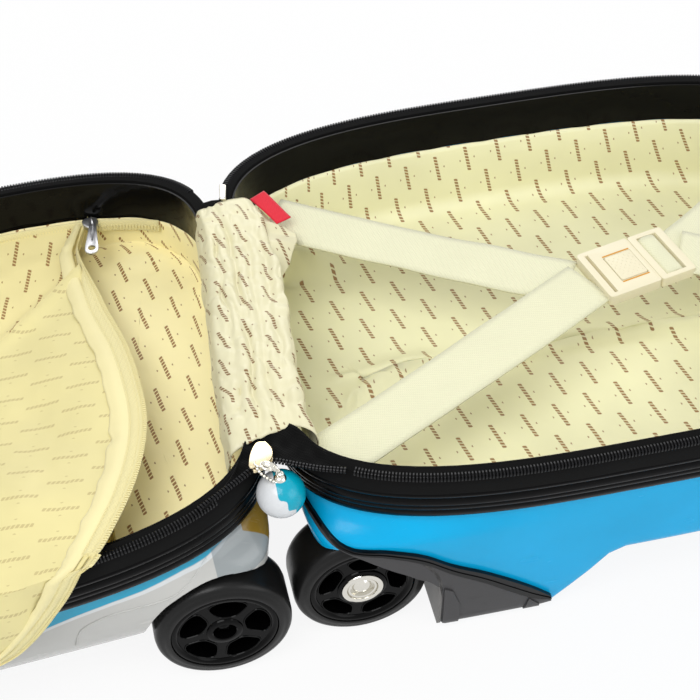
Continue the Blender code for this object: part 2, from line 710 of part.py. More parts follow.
def make_drive(side, word, frame, half_parent, axle):
    """Gear on the driven axle, pinion on the motor shaft, and the motor with its plate."""
    u, drop, direction = frame
    wheel_middle = FRONT_WHEEL_FACE - WHEEL_WIDTH / 2
    wall = FRONT_WHEEL_FACE - WHEEL_WIDTH - WELL_SIDE_CLEAR
    gear_start = wall - WALL - 1.5 * MM
    gear_end = gear_start - GEAR_WIDTH
    plate_face = gear_end - 1.5 * MM
    plate_thick = 2.5 * MM
    distance = (GEAR_TEETH + PINION_TEETH) * GEAR_MODULE / 2

    start = side * (FRONT_WHEEL_FACE - 9.6 * MM - wheel_middle)
    end = side * (plate_face - plate_thick + 0.5 * MM - wheel_middle)
    gear = add_prism(
        f"front_{word}_drive_gear",
        gear_outline(GEAR_TEETH, GEAR_MODULE),
        side * (gear_start - wheel_middle),
        side * (gear_end - wheel_middle),
        axle,
        BRASS,
    )
    shaft = add_cylinder(f"front_{word}_shaft_form", AXLE_RADIUS, (0, start, 0), (0, end, 0), axle, segments=16, cutter=True)
    combine(gear, shaft, "UNION")

    motor_x = direction * u
    motor_z = -drop + distance
    motor_axis = empty(f"front_{word}_motor_axis", (motor_x, side * (gear_start + gear_end) / 2, motor_z), half_parent)
    half_width = GEAR_WIDTH / 2 + 0.4 * MM
    pinion_turn = math.pi / 2 + math.pi + math.pi / PINION_TEETH
    gear_phase = math.pi / 2 - round((math.pi / 2) / (2 * math.pi / GEAR_TEETH)) * 2 * math.pi / GEAR_TEETH
    pinion_turn -= gear_phase * GEAR_TEETH / PINION_TEETH
    pinion = add_prism(
        f"front_{word}_pinion",
        turned_outline(gear_outline(PINION_TEETH, GEAR_MODULE), pinion_turn),
        -half_width,
        half_width,
        motor_axis,
        BRASS,
    )
    shaft_end = -side * (GEAR_WIDTH / 2 + 1.5 * MM + 5 * MM)
    shaft = add_cylinder(f"front_{word}_motor_shaft_form", MOTOR_SHAFT_RADIUS, (0, 0, 0), (0, shaft_end, 0), motor_axis, segments=12, cutter=True)
    combine(pinion, shaft, "UNION")

    outline = []
    for step in range(13):
        angle = math.pi * step / 12
        outline.append((motor_x + (MOTOR_RADIUS + 2 * MM) * math.cos(angle), motor_z + (MOTOR_RADIUS + 2 * MM) * math.sin(angle)))
    for step in range(13):
        angle = math.pi + math.pi * step / 12
        radius = AXLE_RADIUS + 4 * MM
        outline.append((motor_x + radius * math.cos(angle), -drop + radius * math.sin(angle)))
    motor = add_prism(
        f"front_{word}_motor", outline, side * plate_face, side * (plate_face - plate_thick), half_parent, STEEL
    )
    can = add_cylinder(
        f"front_{word}_can_form",
        MOTOR_RADIUS,
        (motor_x, side * (plate_face - plate_thick / 2), motor_z),
        (motor_x, side * (plate_face - MOTOR_LENGTH), motor_z),
        half_parent,
        segments=20,
        cutter=True,
    )
    combine(motor, can, "UNION")
    for place, radius, depth in (
        (motor_z, MOTOR_SHAFT_RADIUS + BORE_CLEAR, 7 * MM),
        (-drop, AXLE_RADIUS + BORE_CLEAR, 2 * plate_thick),
    ):
        bore = add_cylinder(
            f"front_{word}_plate_bore_{round(radius / MM)}",
            radius,
            (motor_x, side * (plate_face + 1 * MM), place),
            (motor_x, side * (plate_face - depth), place),
            half_parent,
            segments=12,
            cutter=True,
        )
        combine(motor, bore)


def make_fender(side, word, parent):
    """The dark skin that wraps the wheel arch, and the strip that seals its upper edge."""
    u, drop = wheel_place(1)
    arch = u + WHEEL_RADIUS
    seam = [(12, 43), (19, 47), (27, 52), (36, 55), (48, 56), (61, 60), (73, 66), (88, 78)]
    seam += [(105, 89), (122, 102), (136, 114), (147, 125)]
    seam = [(x * MM, -z * MM) for x, z in seam]
    heights = (1.5, 2, 2.5, 3, 4, 5, 6, 7, 8.5, 10, 9, 3)
    strip = [(x, z - height * MM) for (x, z), height in zip(seam, heights)]
    lower = [(FENDER_TIP, -FENDER_BOTTOM + 2 * MM), (FENDER_TIP - 10 * MM, -FENDER_BOTTOM)]
    lower += [(arch + 8 * MM, -FENDER_BOTTOM), (arch + 5 * MM, -FENDER_BOTTOM + 3 * MM)]
    lower += [(arch - 0.5 * MM, -drop - 8 * MM), (arch - 3 * MM, -drop + 7 * MM)]
    lower += [(x * MM, -z * MM) for x, z in ((68, 85), (62, 80), (52, 73), (40, 64), (28, 56.5), (19, 51), (12, 46.5))]
    skin_outline = [(x, z - SEAT_GAP) for x, z in strip] + lower
    seal_outline = seam + list(reversed(strip))
    reach_in = side * 85 * MM
    reach_out = side * (CASE_WIDTH / 2 + 10 * MM)
    for name, outline, thick, finish in (
        (f"back_{word}_fender", skin_outline, FENDER_THICK, GREY),
        (f"back_{word}_fender_seal", seal_outline, FENDER_THICK + 0.8 * MM, BLACK),
    ):
        piece = add_prism(name, outline, reach_in, reach_out, parent, finish)
        skin = wall_rings(1, back_depth_at, BACK_EDGE_RADIUS, -thick, FRAME_BOTTOM - 1 * MM, 2)
        combine(piece, add_object(f"{name}_form", solid_from_rows(skin), parent, cutter=True), "INTERSECT", "MANIFOLD")
        wall = wall_rings(1, back_depth_at, BACK_EDGE_RADIUS, -SEAT_GAP, FRAME_BOTTOM - 5 * MM, 2)
        combine(piece, add_object(f"{name}_cutter", solid_from_rows(wall), parent, cutter=True), solver="MANIFOLD")


def make_stub_axle(side, word, parent):
    """A fixed stub axle, its flange against the wheel well."""
    u, drop = wheel_place(1)
    wall = BACK_WHEEL_FACE - WHEEL_WIDTH - WELL_SIDE_CLEAR
    flange_end = wall + 3 * MM
    end = BACK_WHEEL_FACE - 2.5 * MM
    maker = bmesh.new()
    cylinder_maker(maker, AXLE_RADIUS + 4 * MM, (u, side * (wall + SEAT_GAP), -drop), (u, side * flange_end, -drop), 20)
    flange = add_object(f"back_{word}_stub_axle", maker, parent, STEEL)
    rod = add_cylinder(
        f"back_{word}_rod_form",
        AXLE_RADIUS,
        (u, side * (wall - WALL - 4 * MM), -drop),
        (u, side * end, -drop),
        parent,
        segments=16,
        cutter=True,
    )
    combine(flange, rod, "UNION")


def make_telescope(parent):
    """Fixed outer tubes on a foot and a bezel, and two sliding stages with the grip."""
    foot_low = (TUBE_START - 14 * MM, -TUBE_SPACING / 2 - 14 * MM, -TUBE_DROP - OUTER_TUBE_RADIUS + 1 * MM)
    foot_high = (TUBE_START + 6 * MM, TUBE_SPACING / 2 + 14 * MM, -TUBE_DROP + OUTER_TUBE_RADIUS - 1 * MM)
    foot = add_box("handle_foot", foot_low, foot_high, parent, BLACK)
    wall_end = CASE_LENGTH - wall_inset(TUBE_DROP, 1.0)
    sleeve_low = -BACK_DEPTH + WALL + SEAT_GAP
    sleeve_high = -BACK_LINING_DEPTH - SEAT_GAP
    plate_start = wall_end - WALL - 0.4 * MM
    bezel_end = CASE_LENGTH - 3 * MM
    bezel_low = -TUBE_DROP - 9.8 * MM
    bezel = add_box(
        "handle_bezel",
        (plate_start, -BEZEL_WIDTH / 2, bezel_low),
        (bezel_end, BEZEL_WIDTH / 2, bezel_low + BEZEL_HEIGHT),
        parent,
        BLACK,
    )
    sleeve = add_box(
        "bezel_sleeve_form",
        (TUBE_END - 5 * MM, -BEZEL_WIDTH / 2 + 4 * MM, sleeve_low),
        (plate_start + 2 * MM, BEZEL_WIDTH / 2 - 4 * MM, sleeve_high),
        parent,
        cutter=True,
    )
    combine(bezel, sleeve, "UNION")
    window = add_box(
        "back_bezel_window",
        (plate_start - SEAT_GAP, -BEZEL_WIDTH / 2 - SEAT_GAP, bezel_low - SEAT_GAP),
        (CASE_LENGTH + 10 * MM, BEZEL_WIDTH / 2 + SEAT_GAP, bezel_low + BEZEL_HEIGHT + SEAT_GAP),
        parent,
        cutter=True,
    )
    passage = add_box(
        "back_sleeve_window",
        (TUBE_END - 6 * MM, -BEZEL_WIDTH / 2 + 3.7 * MM, sleeve_low - SEAT_GAP),
        (plate_start + 1 * MM, BEZEL_WIDTH / 2 - 3.7 * MM, sleeve_high + SEAT_GAP),
        parent,
        cutter=True,
    )
    combine(window, passage, "UNION")
    combine(bpy.data.objects["back_shell"], window, solver="MANIFOLD")
    recess = add_box(
        "grip_recess",
        (bezel_end - 8 * MM, -GRIP[1] / 2 - 1 * MM, -TUBE_DROP + GRIP_LIFT - GRIP[2] / 2 - 1 * MM),
        (bezel_end + 5 * MM, GRIP[1] / 2 + 1 * MM, -TUBE_DROP + GRIP_LIFT + GRIP[2] / 2 + 1 * MM),
        parent,
        cutter=True,
    )
    combine(bezel, recess)
    stage_one = empty("handle_stage_one", (MID_TUBE_START, 0, -TUBE_DROP), parent)
    stage_two = empty("handle_stage_two", (INNER_TUBE_START - MID_TUBE_START, 0, 0), stage_one)
    grip_start = bezel_end - 7 * MM
    grip_x = grip_start - INNER_TUBE_START
    for side, word in ((-1, "near"), (1, "far")):
        y = side * TUBE_SPACING / 2
        add_tube(
            f"handle_{word}_outer_tube",
            OUTER_TUBE_RADIUS,
            MID_TUBE_RADIUS + TUBE_CLEAR,
            (TUBE_START, y, -TUBE_DROP),
            TUBE_END - TUBE_START,
            parent,
            ALUMINIUM,
        )
        for body, reach, word_two in ((foot, TUBE_START, "foot"), (bezel, TUBE_END, "bezel")):
            socket = add_cylinder(
                f"{word_two}_{word}_socket",
                OUTER_TUBE_RADIUS + SEAT_GAP,
                (TUBE_START - SEAT_GAP, y, -TUBE_DROP),
                (TUBE_END + SEAT_GAP, y, -TUBE_DROP),
                parent,
                segments=16,
                cutter=True,
            )
            combine(body, socket)
        hole = add_cylinder(
            f"bezel_{word}_hole",
            MID_TUBE_RADIUS + TUBE_CLEAR,
            (TUBE_END - 2 * MM, y, -TUBE_DROP),
            (CASE_LENGTH + 4 * MM, y, -TUBE_DROP),
            parent,
            segments=16,
            cutter=True,
        )
        combine(bezel, hole)
        add_tube(
            f"handle_{word}_mid_tube",
            MID_TUBE_RADIUS,
            INNER_TUBE_RADIUS + TUBE_CLEAR,
            (0, y, 0),
            bezel_end - 9.5 * MM - MID_TUBE_START,
            stage_one,
            ALUMINIUM,
        )
        add_cylinder(
            f"handle_{word}_inner_tube",
            INNER_TUBE_RADIUS,
            (0, y, 0),
            (grip_x - SEAT_GAP, y, 0),
            stage_two,
            ALUMINIUM,
            segments=16,
        )
    grip = add_box(
        "handle_grip",
        (grip_x, -GRIP[1] / 2, GRIP_LIFT - GRIP[2] / 2),
        (grip_x + GRIP[0], GRIP[1] / 2, GRIP_LIFT + GRIP[2] / 2),
        stage_two,
        BLACK,
        bevel=4 * MM,
    )
    button_hole = add_box(
        "grip_button_hole",
        (grip_x + GRIP[0] - 7 * MM, -GRIP_BUTTON[1] / 2 - SEAT_GAP, GRIP_LIFT - GRIP_BUTTON[2] / 2 - SEAT_GAP),
        (grip_x + GRIP[0] + 5 * MM, GRIP_BUTTON[1] / 2 + SEAT_GAP, GRIP_LIFT + GRIP_BUTTON[2] / 2 + SEAT_GAP),
        stage_two,
        cutter=True,
    )
    combine(grip, button_hole)
    button = empty("handle_button_axis", (grip_x + GRIP[0], 0, GRIP_LIFT), stage_two)
    add_box(
        "handle_button",
        (GRIP_BUTTON_PROUD - GRIP_BUTTON[0], -GRIP_BUTTON[1] / 2, -GRIP_BUTTON[2] / 2),
        (GRIP_BUTTON_PROUD, GRIP_BUTTON[1] / 2, GRIP_BUTTON[2] / 2),
        button,
        GREY,
        bevel=0.8 * MM,
    )


def make_carry_handle(parent):
    """A moulded carry handle whose ends slide in two sockets of one base plate."""
    wall_x = CASE_LENGTH - wall_inset(CARRY_DROP - 8 * MM, 1.0) + SEAT_GAP
    base = add_box(
        "carry_handle_base",
        (wall_x, -CARRY_SPAN / 2 - 14 * MM, -CARRY_DROP - 8 * MM),
        (wall_x + 17 * MM, CARRY_SPAN / 2 + 14 * MM, -CARRY_DROP + 8 * MM),
        parent,
        BLACK,
        bevel=2.5 * MM,
    )
    notch = add_box(
        "carry_base_notch",
        (wall_x + 4 * MM, -CARRY_SPAN / 2 + 20 * MM, -CARRY_DROP - 12 * MM),
        (wall_x + 40 * MM, CARRY_SPAN / 2 - 20 * MM, -CARRY_DROP + 12 * MM),
        parent,
        cutter=True,
    )
    combine(base, notch)
    axis = empty("carry_handle_axis", (wall_x + 5 * MM, 0, -CARRY_DROP), parent)
    half = CARRY_SPAN / 2
    thick = CARRY_THICK / 2
    crown = CARRY_RISE - thick
    path = [(0, -half), (crown * 0.62, -half), (crown * 0.92, -half * 0.82), (crown, -half * 0.5)]
    path += [(x, -y) for x, y in reversed(path)]
    maker = bmesh.new()
    rings = []
    for index, (x, y) in enumerate(path):
        before = Vector(path[max(0, index - 1)])
        after = Vector(path[min(len(path) - 1, index + 1)])
        along = (after - before).normalized()
        across = Vector((along.y, -along.x))
        ring = []
        for step in range(8):
            angle = 2 * math.pi * (step + 0.5) / 8
            shift = across * thick * math.cos(angle) / math.cos(math.pi / 8)
            ring.append(maker.verts.new((x + shift.x, y + shift.y, 0.36 * CARRY_WIDTH * math.sin(angle))))
        rings.append(ring)
    join_rings(maker, rings)
    maker.faces.new(rings[0])
    maker.faces.new(rings[-1])
    add_object("carry_handle", maker, axis, BLACK)
    for side, word in ((-1, "near"), (1, "far")):
        size = thick / math.cos(math.pi / 8) + SEAT_GAP
        deep = 0.36 * CARRY_WIDTH + SEAT_GAP
        socket = add_box(
            f"carry_{word}_socket",
            (wall_x + 4.5 * MM, side * half - size, -CARRY_DROP - deep),
            (wall_x + 40 * MM, side * half + size, -CARRY_DROP + deep),
            parent,
            cutter=True,
        )
        combine(base, socket)


def buckle_point(along, across):
    """A point of the buckle's plan, in the back half's frame."""
    cosine = math.cos(BUCKLE_TURN)
    sine = math.sin(BUCKLE_TURN)
    x = BUCKLE_AT[0] + along * cosine - across * sine
    y = BUCKLE_AT[1] + along * sine + across * cosine
    return Vector((x, y))


def wall_hit(start, direction, inset):
    """Where a ray in plan meets the outline of the back half, moved in by inset."""
    ring = [place_in_half(1, point, inset, 0.0).to_2d() for point in RIM]
    nearest = None
    for index, corner in enumerate(ring):
        edge = ring[(index + 1) % len(ring)] - corner
        turn = direction.cross(edge)
        if abs(turn) < 1e-12:
            continue
        reach = (corner - start).cross(edge) / turn
        share = (corner - start).cross(direction) / turn
        if reach > 0 and 0 <= share <= 1 and (nearest is None or reach < nearest):
            nearest = reach
    return start + direction * nearest


def add_strap_pair(name, loop, anchors, parent):
    """Two bands of webbing sewn together where they meet the buckle, out to the rim's band."""
    deepest = STRAP_DROP + 2 * STRAP_THICK
    inset = BAND_INSET + (deepest - BAND_TOP) * BAND_SLOPE + BAND_THICK + SEAT_GAP
    for index, anchor in enumerate(anchors):
        along = (Vector(anchor) - loop).normalized()
        across = Vector((-along.y, along.x)) * STRAP_WIDTH / 2
        outline = [loop + across, loop - across]
        outline += [wall_hit(loop - across, along, inset), wall_hit(loop + across, along, inset)]
        low = -STRAP_DROP - STRAP_THICK * (0.5 + 0.5 * index)
        points = [(corner.x, corner.y) for corner in outline]
        title = f"{name}_second_form" if index else name
        band = add_prism(title, points, low, low + STRAP_THICK, parent, CREAM, index > 0, "z")
        if index:
            combine(first, band, "UNION")
        else:
            first = band
    return first


def make_straps(parent):
    """Crossed luggage straps with a buckle that opens by its middle button."""
    half = BUCKLE_LENGTH / 2
    split = 6 * MM
    low = -STRAP_DROP - BUCKLE_THICK / 2
    high = -STRAP_DROP + BUCKLE_THICK / 2

    def plate(name, start, end, bottom, top, inset, finish=None, cutter=False):
        corners = [
            buckle_point(start, -BUCKLE_WIDTH / 2 + inset),
            buckle_point(end, -BUCKLE_WIDTH / 2 + inset),
            buckle_point(end, BUCKLE_WIDTH / 2 - inset),
            buckle_point(start, BUCKLE_WIDTH / 2 - inset),
        ]
        return add_prism(name, [(c.x, c.y) for c in corners], bottom, top, parent, finish, cutter, axis="z")

    socket = plate("buckle_socket", -half + 10 * MM, split, low, high, 0.0, IVORY)
    plug = plate("buckle_plug", split + SEAT_GAP, half, low, high, 0.0, IVORY)
    tongue = plate("buckle_tongue_form", split - 20 * MM, split + 4 * MM, low + 2.4 * MM, low + 4.6 * MM, 8 * MM, cutter=True)
    combine(plug, tongue, "UNION")
    mouth = plate("buckle_mouth", split - 21 * MM, split + 4 * MM, low + 2.4 * MM - SEAT_GAP, low + 4.6 * MM + SEAT_GAP, 7.4 * MM, cutter=True)
    combine(socket, mouth)
    well = plate("buckle_button_well", split - 22 * MM, split - 4 * MM, low + 4.0 * MM, high + 2 * MM, 11 * MM, cutter=True)
    combine(socket, well)
    loop = plate("buckle_loop_form", -half, -half + 11 * MM, low + 2 * MM, high - 2 * MM, 1.0 * MM, cutter=True)
    combine(socket, loop, "UNION")
    slot = plate("buckle_loop_slot", -half + 3 * MM, -half + 7.5 * MM, low - 2 * MM, high + 2 * MM, 3.5 * MM, cutter=True)
    combine(socket, slot)
    for name, start, end in (("inner", split + 7.5 * MM, split + 11 * MM), ("outer", half - 8 * MM, half - 3.5 * MM)):
        ladder = plate(f"buckle_ladder_{name}", start, end, low - 2 * MM, high + 2 * MM, 3.5 * MM, cutter=True)
        combine(plug, ladder)

    centre = buckle_point(split - 13 * MM, 0)
    axis = empty("buckle_button_axis", (centre.x, centre.y, high), parent, (0, 0, BUCKLE_TURN))
    side = 9 * MM - SEAT_GAP
    add_box(
        "buckle_button",
        (-side, -BUCKLE_WIDTH / 2 + 11 * MM + SEAT_GAP, -2.6 * MM),
        (side, BUCKLE_WIDTH / 2 - 11 * MM - SEAT_GAP, 0.8 * MM),
        axis,
        IVORY,
        bevel=0.6 * MM,
    )
    hinge_loop = buckle_point(-half - SEAT_GAP - 13.5 * MM, 0)
    add_strap_pair("hinge_straps", hinge_loop, HINGE_STRAP_ANCHORS, parent)
    top_loop = buckle_point(half + SEAT_GAP + 13 * MM, 0)
    add_strap_pair("top_straps", top_loop, TOP_STRAP_ANCHORS, parent)


def add_sheet(name, rows, thickness, parent, finish):
    """An open surface through a grid of points, thickened on its underside."""
    maker = bmesh.new()
    grid = [[maker.verts.new(point) for point in row] for row in rows]
    for first, second in zip(grid, grid[1:]):
        for index in range(len(first) - 1):
            maker.faces.new((first[index], second[index], second[index + 1], first[index + 1]))
    made = add_object(name, maker, parent, finish)
    if made.data.polygons[0].normal.z < 0:
        made.data.flip_normals()
    thicken = made.modifiers.new("cloth_thickness", "SOLIDIFY")
    thicken.thickness = thickness
    thicken.offset = -1
    return made


def make_gusset(parent):
    """The cloth that covers the hinge: over both rims, then down into each half, with folds."""
    section = [(-17, -31), (-18, -16), (-15.5, -5), (-10, 0.6), (-5, 1.2), (0, 2.0)]
    section += [(5, 1.7), (10, 1.6), (17, 0.2), (22, -4), (24.5, -14), (25, -25)]
    rows = []
    for step in range(9):
        share = step / 8
        y = GUSSET_NEAR + (GUSSET_FAR - GUSSET_NEAR) * share
        recess = edge_at(y) - HINGE_EDGE
        open_share = smoothstep(min(share, 1 - share) / 0.12)
        skirt = -SKIRT_DROP * smoothstep((66 * MM - y) / (26 * MM)) - SKIRT_SHORT
        row = []
        for index, (x, z) in enumerate(section):
            ripple = 0.8 * math.sin(2.6 * math.pi * share + 1.3 * index) * open_share
            bulge = 4.0 * open_share if x > 12 else 0.0
            follow = recess * max(-1.0, min(1.0, x / 12.0))
            level = (z + max(0.0, ripple)) * MM
            if x > 20:
                level = max(level, skirt * (z + 4) / -21 - 4 * MM) if z < -4 else level
            row.append(Vector(((x + bulge + ripple) * MM + follow, y, level)))
        rows.append(row)
    return add_sheet("hinge_gusset", rows, GUSSET_THICK, parent, CREAM)


def make_hinge_tapes(parent):
    """The black tape that bridges the two zips at each end of the hinge."""
    for side, word, level, lengths in (
        (-1, "near", GUSSET_NEAR, (0, 8, 15, 19.5)),
        (1, "far", GUSSET_FAR, (0, 7, 14)),
    ):
        rows = []
        for length in lengths:
            y = level + side * (length * MM + SEAT_GAP)
            half = edge_at(y) + 3 * MM if length < 19 else 7 * MM
            row = []
            for across in (-1, -0.4, 0.4, 1):
                x = across * half
                slope = x * math.sin(FRONT_SLOPE) if x < 0 else 0.0
                row.append(Vector((x, y, (2.2 - 0.8 * abs(across)) * MM + slope)))
            rows.append(row)
        if side < 0:
            rows.reverse()
        add_sheet(f"hinge_{word}_tape", rows, BRIDGE_THICK, parent, BLACK_CLOTH)


def make_zip_slider(parent):
    """The slider that waits where the two zips meet, and its hanging charm."""
    x, y = CHARM_AT
    top = 4.0 * MM
    slider = add_box(
        "zip_slider",
        (x - 5.5 * MM, y - 4 * MM, 2.4 * MM),
        (x + 5.5 * MM, y + 10.5 * MM, top + 2.4 * MM),
        parent,
        CHROME,
        bevel=1.0 * MM,
    )
    axis = empty("charm_axis", (x, y - 4 * MM - CLASP_PIN_RADIUS - SEAT_GAP, 3 * MM), parent)
    return slider, axis


def make_charm(axis):
    """A plain round pendant under a small clasp."""
    maker = bmesh.new()
    bmesh.ops.create_uvsphere(
        maker, u_segments=14, v_segments=8, radius=CHARM_RADIUS, matrix=Matrix.Translation((0, 0, -CHARM_DROP - 4 * MM))
    )
    add_object("charm_ball", maker, axis, TEAL)
    maker = bmesh.new()
    top = -CHARM_DROP - 4 * MM + CHARM_RADIUS + SEAT_GAP
    cylinder_maker(maker, 2.2 * MM, (0, 0, top), (0, 0, -0.6 * MM), 10, 1.4 * MM)
    clasp = add_object("charm_clasp", maker, axis, CHROME)
    pin = add_cylinder("charm_clasp_pin_form", CLASP_PIN_RADIUS, (-3 * MM, 0, 0), (3 * MM, 0, 0), axis, segments=10, cutter=True)
    combine(clasp, pin, "UNION")


def make_label(parent):
    """A plain red label sewn in at the end of the gusset."""
    start = Vector((25 * MM, 90 * MM))
    end = Vector((41 * MM, 65 * MM))
    along = (end - start).normalized()
    across = Vector((-along.y, along.x)) * 5.5 * MM
    outline = [start + across, start - across, end - across, end + across]
    top = -4 * MM - SKIRT_SHORT - SEAT_GAP
    add_prism("label_tab", [(c.x, c.y) for c in outline], top - 1 * MM, top, parent, RED, axis="z")


def flap_point(share, part):
    """A point of the open flap: part runs from the far side to the near rim, share to its end."""
    over = 1 - smoothstep((share - 0.35) / 0.2)
    sunk = smoothstep((share - 0.5) / 0.4)
    curve = math.sin(math.pi * min(1.0, part * 1.08))
    start = 88 - 22 * curve**0.8 + 30 * max(0.0, part - 0.82) / 0.18
    u = (start + (FLAP_END / MM - start) * share) * MM
    corner = 10 * MM * smoothstep((u - 270 * MM) / (70 * MM))
    far = side_at(u) - 13.5 * MM - corner
    near = side_at(u) - (21 - 17 * over) * MM - corner
    y = far - (far + near) * part
    lift = smoothstep((part - 0.3) / 0.5)
    height = -31 + 33.4 * lift * (1 - 0.85 * sunk) - 3 * math.sin(math.pi * min(1.0, part / 0.75))
    wave = 1.3 * math.sin(5 * part * math.pi + 4 * share) * smoothstep(5 * part * (0.9 - part))
    return Vector((-u, y, (height + wave) * MM))


def make_divider_flap(parent):
    """The zipped divider of the front half, open at the hinge side and laid over the near rim."""
    shares = [step / 12 for step in range(13)]
    rows = []
    for share in shares:
        rows.append([flap_point(share, part) for part in shares])
    return add_sheet("divider_flap", rows, FLAP_THICK, parent, YELLOW)


def make_front_fittings(parent):
    """Battery and control board in the drive bay, under the lining."""
    floor = -FRONT_DEPTH + WALL + SEAT_GAP
    x = -(DRIVE_BAY_END - 3 * MM - BATTERY[0] / 2)
    add_box(
        "battery_pack",
        (x - BATTERY[0] / 2, -BATTERY[1] / 2, floor),
        (x + BATTERY[0] / 2, BATTERY[1] / 2, floor + BATTERY[2]),
        parent,
        GREY,
        bevel=2 * MM,
    )
    level = floor + BATTERY[2] + 4 * MM
    board = add_box(
        "control_board",
        (x - BOARD[0] / 2, -BOARD[1] / 2, level),
        (x + BOARD[0] / 2, BOARD[1] / 2, level + BOARD[2]),
        parent,
        GREEN,
    )
    legs = add_box(
        "control_board_legs_form",
        (x - BOARD[0] / 2 + 4 * MM, -BOARD[1] / 2 + 4 * MM, floor + BATTERY[2] + SEAT_GAP),
        (x + BOARD[0] / 2 - 4 * MM, BOARD[1] / 2 - 4 * MM, level + 0.5 * MM),
        parent,
        cutter=True,
    )
    combine(board, legs, "UNION")
    chips = add_box(
        "control_board_chips_form",
        (x - 9 * MM, -14 * MM, level + 1 * MM),
        (x + 8 * MM, 12 * MM, level + 5 * MM),
        parent,
        cutter=True,
    )
    combine(board, chips, "UNION")


def make_divider_slider(parent):
    """The slider of the divider's zip, resting where the zip is open, with its pull."""
    x = -76 * MM
    y = side_at(76 * MM) - 17.3 * MM
    slider = add_box(
        "divider_slider", (x - 5 * MM, y - 3.5 * MM, -28.6 * MM), (x + 5 * MM, y + 3.5 * MM, -24.5 * MM), parent, CHROME, bevel=1 * MM
    )
    pull = add_box(
        "divider_pull_form", (x - 2.5 * MM, y - 24 * MM, -26.5 * MM), (x + 2.5 * MM, y, -25.2 * MM), parent, cutter=True
    )
    combine(slider, pull, "UNION")


def rest_on_floor(case):
    """Moves the whole case so that its box stands centred on the origin, base at zero."""
    bpy.context.view_layer.update()
    graph = bpy.context.evaluated_depsgraph_get()
    low = [math.inf] * 3
    high = [-math.inf] * 3
    for item in parts.objects:
        if item.type != "MESH":
            continue
        evaluated = item.evaluated_get(graph)
        mesh = evaluated.to_mesh()
        for vertex in mesh.vertices:
            corner = evaluated.matrix_world @ vertex.co
            for axis in range(3):
                low[axis] = min(low[axis], corner[axis])
                high[axis] = max(high[axis], corner[axis])
        evaluated.to_mesh_clear()
    case.location = (-(low[0] + high[0]) / 2, -(low[1] + high[1]) / 2, -low[2])


clear_scene()
parts = new_collection(MODEL_NAME)
cutters = new_collection("cutters")

BLUE = material("blue_shell", (0.006, 0.41, 0.78), 0.18)
WHITE = material("white_shell", (0.72, 0.74, 0.76), 0.22)
BLACK = material("black_plastic", (0.012, 0.012, 0.013), 0.32)
BLACK_CLOTH = material("black_tape", (0.014, 0.014, 0.015), 0.75)
RUBBER = material("tyre_rubber", (0.010, 0.010, 0.011), 0.55)
GREY = material("dark_grey_plastic", (0.07, 0.07, 0.075), 0.42)
CREAM = material("cream_fabric", (0.83, 0.82, 0.52), 0.6)
YELLOW = material("yellow_fabric", (0.88, 0.75, 0.32), 0.6)
IVORY = material("ivory_plastic", (0.87, 0.82, 0.62), 0.4)
CHROME = material("chrome", (0.75, 0.73, 0.68), 0.15, 1.0)
STEEL = material("steel", (0.55, 0.55, 0.56), 0.3, 1.0)
ALUMINIUM = material("aluminium", (0.7, 0.7, 0.72), 0.3, 1.0)
BRASS = material("brass", (0.68, 0.5, 0.22), 0.3, 1.0)
TEAL = material("teal_plastic", (0.02, 0.5, 0.62), 0.35)
RED = material("red_label", (0.75, 0.01, 0.03), 0.6)
GREEN = material("board_green", (0.02, 0.2, 0.07), 0.5)

case = empty("case", (0, 0, 0))
back_half = empty("back_half", (0, 0, 0), case)
front_half = empty("front_half", (0, 0, 0), case, (0, -FRONT_SLOPE, 0))

make_half("back", 1, back_half)
make_half("front", -1, front_half)
for end_side, end_word in ((-1, "near"), (1, "far")):
    back_frame = (*wheel_place(1), 1)
    front_frame = (*wheel_place(-1), -1)
    make_wheel(f"back_{end_word}", end_side, BACK_WHEEL_FACE, back_frame, back_half, False)
    front_axle = make_wheel(f"front_{end_word}", end_side, FRONT_WHEEL_FACE, front_frame, front_half, True)
    make_drive(end_side, end_word, front_frame, front_half, front_axle)
    make_fender(end_side, end_word, back_half)
    make_stub_axle(end_side, end_word, back_half)
make_telescope(back_half)
make_carry_handle(back_half)
make_straps(back_half)
make_gusset(case)
make_hinge_tapes(case)
zip_slider, charm_axis = make_zip_slider(case)
make_charm(charm_axis)
make_label(case)
make_divider_flap(front_half)
make_front_fittings(front_half)
make_divider_slider(front_half)
rest_on_floor(case)
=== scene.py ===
"""Looks of a child's hard-shell travel case that lies open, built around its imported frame.

Lengths are metres. Each half has its own frame: x along the half, y along the hinge, z over the rim.
"""

import json
import math

import bmesh
import bpy
import numpy as np
from mathutils import Matrix, Vector


